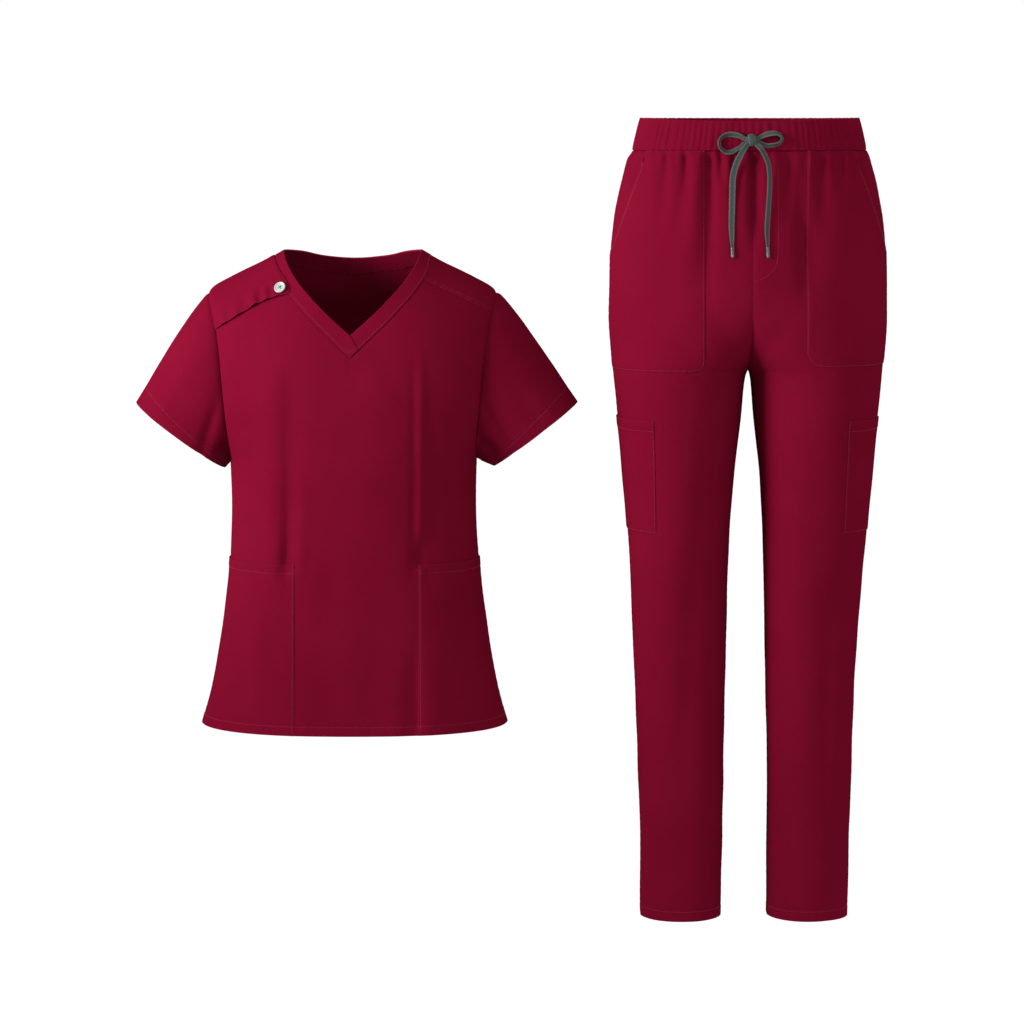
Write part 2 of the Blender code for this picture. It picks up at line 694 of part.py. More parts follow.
def unit(vectors):
    return vectors / np.linalg.norm(vectors, axis=-1, keepdims=True)


def tape_grid(route):
    """Rings of points round the flat tape, one for each row of its smoothed route, and its centreline."""
    x, z, stand_off, tilt, share = smooth_rows(route).T
    tilt, half = np.radians(tilt), TAPE_WIDTH / 2 * share
    off = TAPE_GAP + half * np.sin(tilt) + TAPE_THICK / 2 * np.cos(tilt) + stand_off
    line = np.stack([KNOT_X + x, trouser_front_y(KNOT_X - TROUSERS_X + x, z) - off, z], axis=1)
    along = unit(np.gradient(line, axis=0))
    flat = unit(np.cross((0, FRONT, 0), along))
    across = np.cross(along, flat) * np.sin(tilt)[:, None] - flat * np.cos(tilt)[:, None]
    through = np.cross(along, across)
    grid = []
    for angle in np.linspace(0, 2 * math.pi, TAPE_SIDES, endpoint=False):
        wide, thick = signed_power(math.cos(angle), 0.5), signed_power(math.sin(angle), 0.5)
        grid.append(line + across * half[:, None] * wide + through * TAPE_THICK / 2 * thick)
    return np.array(grid).transpose(1, 0, 2), line


def tape(name, grid, material, collection):
    made = surface(grid, closed=True)
    bmesh.ops.holes_fill(made, edges=[edge for edge in made.edges if edge.is_boundary])
    bmesh.ops.triangulate(made, faces=made.faces)
    bmesh.ops.recalc_face_normals(made, faces=made.faces)
    mesh = bpy.data.meshes.new(name)
    made.to_mesh(mesh)
    made.free()
    place(name, mesh, material, collection)


def disc(name, radius, length, at, towards, material, collection, bevel):
    """A short cylinder from a point towards a direction, with its edges rounded."""
    made = bmesh.new()
    bmesh.ops.create_cone(
        made, cap_ends=True, segments=16, radius1=radius, radius2=radius, depth=length
    )
    turn = Vector(towards).to_track_quat("Z", "Y").to_matrix().to_4x4()
    middle = Matrix.Translation(Vector(at) + Vector(towards).normalized() * length / 2)
    mesh = bpy.data.meshes.new(name)
    made.to_mesh(mesh)
    made.free()
    piece = place(name, mesh, material, collection)
    piece.matrix_world = middle @ turn
    rounding = piece.modifiers.new("rounding", "BEVEL")
    rounding.width = bevel
    rounding.segments = 1
    rounding.limit_method = "ANGLE"
    return piece


def knot(material, collection):
    made = bmesh.new()
    bmesh.ops.create_uvsphere(made, u_segments=12, v_segments=8, radius=1.0)
    bmesh.ops.scale(made, vec=KNOT_SIZE, verts=made.verts)
    mesh = bpy.data.meshes.new("drawstring_knot")
    made.to_mesh(mesh)
    made.free()
    piece = place("drawstring_knot", mesh, material, collection)
    behind = float(trouser_front_y(KNOT_X - TROUSERS_X, KNOT_Z))
    piece.location = (KNOT_X, behind - TAPE_GAP - KNOT_SIZE[1], KNOT_Z)


# ---------------------------------------------------------------- assembly


def make_top(wine, white, collection):
    front, back = torso_grid(FRONT), torso_grid(BACK)
    beyond = ((BEYOND, YOKE_SEAM[1][1]), (BEYOND, BEYOND), (YOKE_SEAM[0][0], BEYOND))
    for name, keep, shift in (("top_front", False, -YOKE_CUT), ("top_yoke_right", True, YOKE_CUT)):
        made = surface(front)
        cut_to(made, neck_outline(FRONT), "front", False)
        cut_to(made, [(x, z + shift) for x, z in YOKE_SEAM + beyond], "front", keep)
        cloth(name, made, wine, collection, seams=[seam_at_sides(FRONT)])
    made = surface(back[:, ::-1])
    cut_to(made, neck_outline(BACK), "front", False)
    cloth("top_back", made, wine, collection, seams=[seam_at_sides(BACK)])
    for half in (LEFT, RIGHT):
        name = SIDE_NAMES[half]
        cloth(f"top_sleeve_{name}", surface(sleeve_grid(front, back, (half + 1) // 2), True), wine, collection)
        band = surface(front)
        cut_to(band, band_outline(FRONT, half), "front")
        cloth(f"neckband_{name}", band, wine, collection, BAND_CLOTH, [seam_at_sides(FRONT)])
        made = lifted(front)
        cut_to(made, top_pocket_outline(half), "front")
        cloth(f"top_pocket_{name}", made, wine, collection, seams=[seam_at_sides(FRONT)])
    band = surface(back[:, ::-1])
    cut_to(band, band_outline(BACK, RIGHT), "front")
    cloth("neckband_back", band, wine, collection, BAND_CLOTH, [seam_at_sides(BACK)])
    made = lifted(front, FLAP_LIFT)
    cut_to(made, SHOULDER_FLAP, "front")
    cloth("shoulder_flap", made, wine, collection, seams=[seam_at_sides(FRONT)])
    step = 0.002
    centre = float(torso_y(BUTTON_X, BUTTON_Z, FRONT))
    slope_x = (float(torso_y(BUTTON_X + step, BUTTON_Z, FRONT)) - centre) / step
    slope_z = (float(torso_y(BUTTON_X, BUTTON_Z + step, FRONT)) - centre) / step
    outward = Vector((slope_x, -1.0, slope_z)).normalized()
    at = Vector((BUTTON_X, centre, BUTTON_Z)) + outward * (FLAP_LIFT + CLOTH / 2 + BUTTON_GAP)
    disc("shoulder_button", BUTTON_RADIUS, BUTTON_THICK, at, outward, white, collection, BUTTON_EDGE)


def make_trousers(wine, collection):
    cloth("trouser_waistband", surface(waistband_grid(), True), wine, collection, WAIST_CLOTH)
    for half in (LEFT, RIGHT):
        name = SIDE_NAMES[half]
        front, back = trouser_grid(FRONT, half), trouser_grid(BACK, half)
        middle = seam_at_middle(half)
        cloth(f"trouser_front_{name}", surface(front), wine, collection, seams=[seam_at_sides(FRONT), middle])
        cloth(f"trouser_back_{name}", surface(back[:, ::-1]), wine, collection, seams=[seam_at_sides(BACK), middle])
        made = lifted(front)
        cut_to(made, trouser_pocket_outline(half), "front")
        cloth(f"trouser_pocket_{name}", made, wine, collection, seams=[seam_at_sides(FRONT)])
        around = joined_at_side(front, back, half)
        made = lifted(around)
        cut_to(made, cargo_front_outline(half), "front")
        cut_to(made, CARGO_BACK_OUTLINE, "side")
        cloth(f"cargo_pocket_{name}", made, wine, collection)


def make_drawstring(grey, collection):
    knot(grey, collection)
    for half in (LEFT, RIGHT):
        name = SIDE_NAMES[half]
        tape(f"drawstring_loop_{name}", tape_grid(LOOP_ROUTES[half])[0], grey, collection)
        grid, line = tape_grid(TAIL_ROUTES[half])
        tape(f"drawstring_tail_{name}", grid, grey, collection)
        down = Vector(unit(line[-1] - line[-2]))
        at = Vector(line[-1]) + down * SEAM
        disc(f"aglet_{name}", AGLET_RADIUS, AGLET_LENGTH, at, down, grey, collection, AGLET_EDGE)


def main():
    for old in list(bpy.data.objects):
        bpy.data.objects.remove(old, do_unlink=True)
    collection = bpy.data.collections.new("medical_scrubs")
    bpy.context.scene.collection.children.link(collection)
    wine = finish("wine_cloth", WINE, 0.75)
    white = finish("white_button", BUTTON_WHITE, 0.35)
    grey = finish("grey_cord", GREY_CORD, 0.8)
    make_top(wine, white, collection)
    make_trousers(wine, collection)
    make_drawstring(grey, collection)


main()
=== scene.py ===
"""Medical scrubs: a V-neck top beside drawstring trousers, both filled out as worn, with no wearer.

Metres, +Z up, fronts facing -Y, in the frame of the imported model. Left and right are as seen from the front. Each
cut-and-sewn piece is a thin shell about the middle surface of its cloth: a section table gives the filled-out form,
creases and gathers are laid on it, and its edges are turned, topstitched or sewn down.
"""

import math

import bmesh
import bpy
import numpy as np
from mathutils import Matrix, Vector


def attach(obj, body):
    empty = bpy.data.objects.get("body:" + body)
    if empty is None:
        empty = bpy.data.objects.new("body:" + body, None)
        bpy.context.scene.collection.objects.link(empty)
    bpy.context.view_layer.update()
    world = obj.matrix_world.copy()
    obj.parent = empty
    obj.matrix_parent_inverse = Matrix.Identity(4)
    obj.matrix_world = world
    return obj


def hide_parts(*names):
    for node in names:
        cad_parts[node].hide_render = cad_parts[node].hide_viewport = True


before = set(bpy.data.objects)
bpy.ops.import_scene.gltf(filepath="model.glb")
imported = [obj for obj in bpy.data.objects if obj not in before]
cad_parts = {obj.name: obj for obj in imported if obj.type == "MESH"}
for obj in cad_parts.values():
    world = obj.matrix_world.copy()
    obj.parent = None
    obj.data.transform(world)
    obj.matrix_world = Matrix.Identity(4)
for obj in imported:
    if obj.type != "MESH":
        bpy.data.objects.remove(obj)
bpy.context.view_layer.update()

FRONT, BACK = -1, 1
LEFT, RIGHT = -1, 1
SIDE_NAMES = {LEFT: "left", RIGHT: "right"}

# Thickness of the panels, of the patch pockets, of the folded neckband and of the waistband with its elastic.
CLOTH, PATCH_CLOTH, BAND_CLOTH, WAIST_CLOTH = 0.0012, 0.0008, 0.0024, 0.0030
LAYER = 0.0004  # air between a piece and the one it lies on
PATCH_LIFT = (CLOTH + PATCH_CLOTH) / 2 + LAYER
FLAP_LIFT = BAND_CLOTH / 2 + LAYER + CLOTH / 2
FLAP_DIP = FLAP_LIFT - CLOTH - LAYER / 4  # how much closer the flap lies to the front at the shoulder seam
AT_SEAM, SEAM_LAP = 0.0001, 0.0003  # what lies this near a seam runs on past it, by this much
BAND_SEAM_HALF = 0.0003
YOKE_CUT, YOKE_TUCK = 0.0001, 0.0018  # the yoke stops short of its seam, and the front runs on under it


# ---------------------------------------------------------------- tables and curves


def table(names, rows):
    return dict(zip(names, np.array(rows, float).T))


def curve(keys, values):
    """A smooth curve through points, which never overshoots them."""
    order = np.argsort(keys)
    keys, values = np.asarray(keys, float)[order], np.asarray(values, float)[order]
    steps = np.diff(keys)
    slopes = np.diff(values) / steps
    tangents = np.concatenate([slopes[:1], np.zeros(len(slopes) - 1), slopes[-1:]])
    same_way = slopes[:-1] * slopes[1:] > 0
    both = np.where(same_way, slopes[:-1] + slopes[1:], 1.0)
    tangents[1:-1] = np.where(same_way, 2 * slopes[:-1] * slopes[1:] / both, 0.0)

    def at(key):
        key = np.clip(key, keys[0], keys[-1])
        i = np.clip(np.searchsorted(keys, key) - 1, 0, len(steps) - 1)
        t = (key - keys[i]) / steps[i]
        ends = values[i] * (1 + 2 * t) * (1 - t) ** 2 + values[i + 1] * t * t * (3 - 2 * t)
        bends = tangents[i] * t * (1 - t) ** 2 + tangents[i + 1] * t * t * (t - 1)
        return ends + steps[i] * bends

    return at


def signed_power(value, power):
    return np.sign(value) * np.abs(value) ** power


def smooth_rows(rows, per_span=2):
    """More rows of a table, on smooth curves through its own."""
    rows = np.array(rows, float)
    ends = np.concatenate([2 * rows[:1] - rows[1:2], rows, 2 * rows[-1:] - rows[-2:-1]])
    made = []
    for a, b, c, d in zip(ends, ends[1:], ends[2:], ends[3:]):
        for t in np.arange(per_span) / per_span:
            bend, twist = 2 * a - 5 * b + 4 * c - d, 3 * b - a - 3 * c + d
            made.append(0.5 * (2 * b + (c - a) * t + bend * t**2 + twist * t**3))
    return np.array(made + [rows[-1]])


def unit(vectors):
    return vectors / np.maximum(np.linalg.norm(vectors, axis=-1, keepdims=True), 1e-12)


def smooth_step(low, high, value):
    t = np.clip((value - low) / (high - low), 0, 1)
    return t * t * (3 - 2 * t)


def lengths_along(points, axis=0):
    """Running length along a line or along each line of a grid."""
    steps = np.linalg.norm(np.diff(points, axis=axis), axis=-1)
    start = np.zeros_like(np.take(steps, [0], axis=axis))
    return np.concatenate([start, np.cumsum(steps, axis=axis)], axis=axis)


def resampled(points, shares):
    """Points of a line at given shares of its length."""
    points = np.asarray(points, float)
    along = lengths_along(points)
    return np.stack([np.interp(np.asarray(shares) * along[-1], along, part) for part in points.T], axis=-1)


def spread(length, start_steps, end_steps, count):
    """Distances along an edge: fixed ones near both ends, for hems and seams, and even ones between."""
    start, end = np.array(start_steps, float), length - np.array(end_steps, float)[::-1]
    between = np.linspace(start[-1], end[0], count - len(start) - len(end) + 2)[1:-1]
    return np.concatenate([start, between, end])


# ---------------------------------------------------------------- the top's form

TOP_BODY = table(
    ("height", "half_width", "front", "back"),
    [
        (-0.604, 0.194, 0.127, 0.120),
        (-0.557, 0.181, 0.122, 0.114),
        (-0.479, 0.168, 0.116, 0.103),
        (-0.402, 0.159, 0.112, 0.095),
        (-0.319, 0.155, 0.114, 0.096),
        (-0.262, 0.156, 0.118, 0.102),
        (-0.190, 0.162, 0.117, 0.108),
        (-0.096, 0.172, 0.105, 0.106),
        (-0.053, 0.182, 0.094, 0.097),
        (0.050, 0.192, 0.080, 0.084),
    ],
)
TOP_FULLNESS = 2.35
HEM = TOP_BODY["height"][0]
UNDERARM = -0.262
ARMHOLE_ROUND = 0.085
ARMHOLE_DEPTH = {FRONT: 0.060, BACK: 0.064}
SHOULDER_DROP = 0.120
SHOULDER_ROUND = 2.2
SHOULDER_TOUCH = 0.00001  # points as near as this to the shoulder line lie on it

SHOULDER = table(
    ("x", "height"),
    [
        (0.000, 0.0400),
        (0.020, 0.0365),
        (0.040, 0.0265),
        (0.060, 0.0140),
        (0.087, 0.0000),
        (0.0985, -0.0065),
        (0.114, -0.015),
        (0.135, -0.025),
        (0.156, -0.0355),
        (0.174, -0.0455),
        (0.183, -0.053),
        (0.200, -0.072),
    ],
)
NECK_OUTER = {
    FRONT: ((0, -0.130), (0.0418, -0.0908), (0.065, -0.0665), (0.082, -0.047), (0.095, -0.0258), (0.0985, -0.0065)),
    BACK: ((0, -0.0325), (0.045, -0.029), (0.078, -0.020), (0.0985, -0.0065)),
}
NECK_INNER = {
    FRONT: ((0, -0.102), (0.028, -0.077), (0.051, -0.054), (0.068, -0.0345), (0.080, -0.016), (0.087, 0)),
    BACK: ((0, -0.0123), (0.040, -0.0088), (0.065, -0.003), (0.087, 0)),
}
BAND_LAP = 0.0105
BAND_RISE = 0.0005
YOKE_SEAM = ((0.0900, -0.0350), (0.1800, -0.0775))

half_width_at = curve(TOP_BODY["height"], TOP_BODY["half_width"])
depth_at = {
    FRONT: curve(TOP_BODY["height"], TOP_BODY["front"]),
    BACK: curve(TOP_BODY["height"], TOP_BODY["back"]),
}
shoulder_at = curve(SHOULDER["x"], SHOULDER["height"])


def torso_section(z, side):
    """Half width, depth and the angle of the side edge of the section at a height."""
    depth = depth_at[side](z)
    rise = np.clip((z - UNDERARM) / ARMHOLE_ROUND, 0, 1)
    edge_depth = ARMHOLE_DEPTH[side] * np.sqrt(1 - (1 - rise) ** 2)
    share = (1 - (edge_depth / depth) ** TOP_FULLNESS) ** (1 / TOP_FULLNESS)
    return half_width_at(z) / share, depth, np.arcsin(share ** (TOP_FULLNESS / 2))


def shoulder_closing(x, z):
    """1 on the chest, falling to 0 at the shoulder seam, where front and back meet."""
    t = np.clip((shoulder_at(np.abs(x)) - z - SHOULDER_TOUCH) / SHOULDER_DROP, 0, 1)
    return (1 - (1 - t) ** SHOULDER_ROUND) ** (1 / SHOULDER_ROUND)


def torso(across, z, side):
    """Points of the body, across from -1 at the left side seam or armhole to 1 at the right one."""
    width, depth, angle = torso_section(z, side)
    turn = np.abs(across) * angle
    x = np.sign(across) * width * np.sin(turn) ** (2 / TOP_FULLNESS)
    y = depth * np.maximum(np.cos(turn), 0) ** (2 / TOP_FULLNESS) * shoulder_closing(x, z)
    return np.stack(np.broadcast_arrays(x, side * y, z), axis=-1)


def torso_across(x, z, side):
    width, _, angle = torso_section(z, side)
    return np.sign(x) * np.arcsin(np.clip(np.abs(x) / width, 0, 1) ** (TOP_FULLNESS / 2)) / angle


def where_side_meets(line_at, side):
    """Height at which the armhole's edge meets a line given as height for each x."""
    low, high = UNDERARM, 0.04
    for _ in range(50):
        middle = (low + high) / 2
        x = float(half_width_at(middle))
        low, high = (middle, high) if middle < line_at(x) else (low, middle)
    return low


# ---------------------------------------------------------------- the trousers' form

TROUSERS_X = 0.5015
TROUSER_BODY = table(
    ("height", "half_width", "front", "back"),
    [
        (-0.857, 0.1340, 0.054, 0.054),
        (-0.760, 0.1340, 0.055, 0.056),
        (-0.709, 0.1363, 0.057, 0.058),
        (-0.552, 0.1416, 0.064, 0.066),
        (-0.422, 0.1475, 0.073, 0.078),
        (-0.293, 0.1580, 0.088, 0.097),
        (-0.190, 0.1670, 0.100, 0.112),
        (-0.127, 0.1726, 0.106, 0.121),
        (-0.076, 0.1755, 0.108, 0.125),
        (-0.008, 0.1748, 0.106, 0.123),
        (0.038, 0.1706, 0.102, 0.117),
        (0.076, 0.1635, 0.097, 0.109),
        (0.101, 0.1570, 0.093, 0.103),
        (0.1165, 0.1520, 0.0905, 0.099),
        (0.1265, 0.1470, 0.0885, 0.096),
        (0.1668, 0.1366, 0.0865, 0.093),
    ],
)
LEG_GAP = table(
    ("height", "half_gap"),
    [
        (-0.857, 0.0305),
        (-0.709, 0.0297),
        (-0.552, 0.0270),
        (-0.422, 0.0237),
        (-0.293, 0.0173),
        (-0.216, 0.0102),
        (-0.165, 0.0060),
        (-0.154, 0.0036),
        (-0.1486, 0.0010),
    ],
)
TROUSER_FULLNESS = 2.15
CROTCH = -0.1486
WAIST_SEAM = 0.1265
WAIST_TOP = 0.1668
WAIST_DIP = 0.0035
TROUSER_HEM = -0.857
SLIT_TOP = -0.834
SLIT_ANGLE = math.radians(5)
RISE = {FRONT: 0.105, BACK: 0.135}
CROTCH_SWEEP = 1.2

trouser_width_at = curve(TROUSER_BODY["height"], TROUSER_BODY["half_width"])
trouser_depth_at = {
    FRONT: curve(TROUSER_BODY["height"], TROUSER_BODY["front"]),
    BACK: curve(TROUSER_BODY["height"], TROUSER_BODY["back"]),
}
leg_gap_at = curve(LEG_GAP["height"], LEG_GAP["half_gap"])


def trouser_section(z, side):
    """Depth, radius and middle of one leg's half section, and the angles of its inner and outer seams."""
    z = np.asarray(z, float)
    outer, depth = trouser_width_at(z), trouser_depth_at[side](z)
    split = np.clip((CROTCH + RISE[side] - z) / RISE[side], 0, 1) ** CROTCH_SWEEP
    inner = np.where(z <= CROTCH, leg_gap_at(z), 0.0)
    radius = (outer - inner) / (1 + split)
    centre = outer - radius
    start = -np.arcsin(np.minimum(1.0, centre / radius) ** (TROUSER_FULLNESS / 2))
    end = math.pi / 2 - SLIT_ANGLE * np.clip((SLIT_TOP - z) / (SLIT_TOP - TROUSER_HEM), 0, 1)
    return depth, radius, centre, start, end


def trouser(across, z, side, half):
    """Points of one leg's front or back, across from 0 at the centre seam or inseam to 1 at the side seam."""
    depth, radius, centre, start, end = trouser_section(z, side)
    angle = start + across * (end - start)
    x = centre + radius * signed_power(np.sin(angle), 2 / TROUSER_FULLNESS)
    y = depth * np.abs(np.cos(angle)) ** (2 / TROUSER_FULLNESS)
    return np.stack(np.broadcast_arrays(TROUSERS_X + half * x, side * y, z), axis=-1)


def trouser_across(x, z, side):
    """x from the trousers' middle, outwards."""
    _, radius, centre, start, end = trouser_section(z, side)
    angle = np.arcsin(np.clip(signed_power((x - centre) / radius, TROUSER_FULLNESS / 2), -1, 1))
    return (angle - start) / (end - start)


def trouser_back_across(y, z):
    """Where the back of a leg is at a depth y, on its outer side."""
    depth, _, _, start, end = trouser_section(z, BACK)
    angle = np.arccos(np.clip(y / depth, 0, 1) ** (TROUSER_FULLNESS / 2))
    return (angle - start) / (end - start)


# ---------------------------------------------------------------- creases, gathers and sag


def crease(sharper, *numbers):
    """One crease, from rows of place across, height, width and depth, all in thousandths.

    A depth above 0 is a trough and one below 0 a ridge. The sharper side is -1 or 1, and 0 makes both sides alike.
    """
    return sharper, np.array(numbers, float).reshape(-1, 4) / 1000


TOP_FRONT_CREASES = (
    crease(0, -98, -130, 16, 0, -99, -200, 18, -2.6, -98, -300, 16, -3.6, -98, -392, 13, -3, -104, -470, 14, 0),
    crease(
        -1, -72, -110, 12, 0, -76, -200, 12, 1.8, -78, -290, 11, 2.6, -80, -350, 9, 4.4, -82, -384, 9, 5.8,
        -84, -408, 9, 2
    ),
    crease(0, -62, -240, 10, 0, -63, -320, 10, -1.6, -65, -375, 9, -2.4, -66, -410, 9, 0),
    crease(0, 79, -110, 5, 0, 79, -200, 5, 1.2, 79, -300, 5, 1.5, 78, -370, 6, 2, 79, -406, 6, 0.8),
    crease(0, 88, -110, 6, 0, 88.5, -200, 6, -1.2, 88, -300, 6, -1.8, 86.5, -360, 6, -1.4, 86, -406, 6, 0),
    crease(-1, 98, -115, 10, 0, 99.5, -210, 10, 2, 99.5, -300, 11, 3, 98, -370, 12, 3, 97, -410, 11, 1),
    crease(0, 87, -350, 6, 0, 86, -376, 7, 5.6, 86, -389, 7, 5, 86, -398, 6, 0),
    crease(1, 80, -470, 9, 0, 80, -530, 9, 3, 81, -580, 10, 4, 81, -606, 10, 4),
    crease(0, 100, -480, 14, 0, 101, -560, 14, -2, 102, -606, 15, -2),
    crease(0, -118, -400, 13, 0, -116, -460, 13, -1.8, -119, -540, 15, -1.4, -122, -606, 16, -0.8),
    crease(0, -134, -92, 14, 0, -121, -113, 14, 1.6, -102, -150, 14, 0),
    crease(1, -150, -235, 8, 0, -136, -222, 9, 1.6, -116, -205, 10, 0),
    crease(1, 152, -245, 8, 0, 138, -222, 9, 2.2, 122, -190, 11, 1.2, 110, -165, 11, 0),
    crease(0, 10, -145, 15, 0, 35, -170, 20, -1.4, 50, -215, 22, 0),
    crease(0, -30, -300, 20, 0, -26, -420, 22, 1.4, -30, -540, 24, 1.6, -34, -606, 24, 1.6),
    crease(0, 30, -330, 22, 0, 34, -450, 24, 1.2, 30, -560, 24, 1.8, 28, -606, 24, 1.8),
)
TOP_BACK_CREASES = (
    crease(0, -60, -180, 14, 0, -66, -280, 13, 3, -70, -390, 13, 4.4, -76, -500, 15, 3, -80, -606, 18, 3),
    crease(1, 66, -160, 13, 0, 70, -270, 12, 3.4, 74, -370, 13, 4.8, 72, -480, 16, 2.6, 78, -606, 18, 3.4),
    crease(0, 90, -200, 12, 0, 94, -300, 12, -2.6, 98, -400, 13, -2.6, 100, -480, 14, 0),
    crease(0, -90, -220, 13, 0, -94, -320, 13, -2.4, -99, -420, 14, -2.2, -104, -500, 14, 0),
    crease(0, 4, -340, 20, 0, 0, -420, 22, 2.2, -6, -520, 24, 2.6, -10, -606, 24, 3),
    crease(-1, -154, -240, 8, 0, -136, -205, 10, 2.6, -108, -160, 12, 1.4, -90, -130, 12, 0),
    crease(1, 154, -245, 8, 0, 138, -215, 10, 2.2, 118, -185, 11, 1.8, 96, -160, 12, 0),
    crease(0, -50, -45, 12, 0, -30, -62, 14, 1.4, 10, -70, 16, 1.8, 45, -60, 14, 0),
    crease(0, -120, -330, 10, 0, -105, -350, 11, 1.8, -85, -360, 10, 0),
    crease(0, 124, -300, 10, 0, 108, -325, 11, 2, 88, -338, 10, 0),
)
TROUSER_FRONT_CREASES = (
    crease(0, -134.2, 130, 5, 4.4, -139.8, 110, 5, 4, -145.8, 92, 5, 2.2, -152, 74, 5, 0),
    crease(0, -108.3, 130, 5.6, 5.9, -111, 83, 7.8, 4, -115, 38, 11.2, 1.6, -118, 8, 11.2, 0),
    crease(0, -83.5, 130, 5.6, 6.6, -85, 86, 7.8, 4.9, -90, 48, 11.2, 2.6, -94, 3, 13.4, 0),
    crease(1, -53.6, 130, 6.7, 7.6, -54, 73, 9, 8.6, -55, 18, 11.2, 6.6, -58, -32, 13.4, 3.3, -62, -82, 14.6, 0),
    crease(0, -41.2, 130, 4.5, 6.6, -40.5, 96, 5.6, 3.3, -40, 78, 6.7, 0),
    crease(0, -23, 130, 4.5, 4.9, -22.5, 93, 5.6, 3, -22, 68, 6.7, 0),
    crease(0, 1.1, 130, 6.7, 7.6, 2, 78, 9, 8.3, 3, 38, 9, 5.9, 2, -2, 9, 0),
    crease(0, 40.9, 130, 5.6, 7.3, 42, 83, 7.8, 5.9, 45, 33, 10.1, 0),
    crease(-1, 54.6, 118, 6.7, 0, 58, 73, 10.1, 4.3, 62.1, 23, 13.4, 7.6, 65, -22, 13.4, 5.6, 68, -62, 13.4, 0),
    crease(0, 83.2, 130, 5.6, 6.9, 85, 83, 9, 5.6, 89, 38, 11.2, 2.3, 90, 8, 11.2, 0),
    crease(0, 131.2, 130, 5, 4, 137, 110, 5, 3.4, 143, 92, 5, 1.8, 149, 74, 5, 0),
    crease(0, 109, 130, 4.5, 4.6, 111, 96, 5.6, 2.6, 112, 76, 6.7, 0),
    crease(0, -70, 125, 9, -2.3, -72, 58, 13.4, -4, -78, -22, 20.2, -3.6, -85, -112, 22.4, 0),
    crease(0, -6, -140, 10, 0, -24, -110, 13, 1.8, -50, -78, 16, 1.8, -74, -52, 15, 0),
    crease(0, 6, -142, 10, 0, 20, -116, 12, 1.2, 40, -88, 14, 1, 58, -72, 13, 0),
    crease(0, -50, -180, 16, 0, -60, -300, 18, 2.7, -70, -450, 18, 3.3, -80, -620, 18, 2.7, -86, -800, 18, 0),
    crease(0, 118, -380, 18, 0, 108, -470, 18, 3.9, 102, -600, 16, 3.9, 106, -760, 16, 2.1, 108, -857, 16, 1.5),
    crease(0, 50, -240, 18, 0, 58, -360, 20, -2.7, 66, -520, 20, -2.7, 70, -700, 18, 0),
    crease(0, -116, -480, 12, 0, -98, -500, 14, 2.1, -74, -508, 14, 0),
    crease(0, 46, -500, 12, 0, 66, -520, 14, 2.1, 90, -522, 14, 0),
)
TROUSER_BACK_CREASES = (
    crease(0, -131, 130, 5.6, 5.1, -135, 83, 7.8, 3.9, -140, 38, 10.1, 0),
    crease(0, -113, 130, 5.6, 5.7, -116, 73, 9, 4.5, -122, 8, 12.3, 0),
    crease(0, -90, 130, 6.7, 6.3, -93, 68, 10.1, 5.4, -98, 8, 13.4, 2.7, -100, -52, 13.4, 0),
    crease(0, -65, 130, 5.6, 5.7, -66, 78, 9, 3.9, -69, 33, 11.2, 0),
    crease(0, -40, 130, 6.7, 6.6, -42, 63, 10.1, 5.4, -45, -7, 12.3, 0),
    crease(0, -18, 130, 5.6, 5.1, -19, 83, 7.8, 3.6, -20, 43, 10.1, 0),
    crease(0, 12, 130, 5.6, 5.7, 13, 78, 9, 3.9, 15, 28, 11.2, 0),
    crease(0, 36, 130, 6.7, 6.3, 38, 73, 10.1, 5.7, 42, 8, 12.3, 2.4, 44, -42, 13.4, 0),
    crease(0, 61, 130, 5.6, 5.4, 63, 83, 7.8, 3.6, 66, 43, 10.1, 0),
    crease(0, 83, 130, 6.7, 6.3, 87, 68, 10.1, 5.1, 93, -2, 13.4, 0),
    crease(0, 108, 130, 5.6, 5.4, 111, 78, 9, 3.9, 116, 33, 11.2, 0),
    crease(0, 130, 130, 5.6, 4.8, 134, 88, 7.8, 3, 138, 53, 10.1, 0),
    crease(1, -12, -150, 10, 0, -40, -165, 13, 4.9, -80, -160, 15, 4.4, -118, -142, 14, 0),
    crease(1, 12, -152, 10, 0, 44, -170, 13, 4.4, 84, -168, 15, 4.7, 122, -150, 14, 0),
    crease(0, -14, -175, 10, 0, -44, -215, 14, 3.4, -78, -250, 16, 0),
    crease(0, 14, -178, 10, 0, 42, -212, 14, 2.9, 72, -242, 16, 0),
    crease(0, -70, -260, 18, 0, -78, -400, 18, 3.4, -84, -560, 18, 3.1, -88, -740, 18, 0),
    crease(0, 74, -280, 18, 0, 80, -420, 18, 3.4, 86, -600, 18, 3.4, 86, -800, 18, 1.3, 86, -857, 18, 1.3),
    crease(0, -128, -485, 10, 0, -104, -470, 12, 2.9, -70, -476, 13, 2.3, -44, -490, 12, 0),
    crease(0, 44, -470, 10, 0, 70, -488, 12, 2.6, 104, -482, 13, 2.6, 128, -466, 12, 0),
)
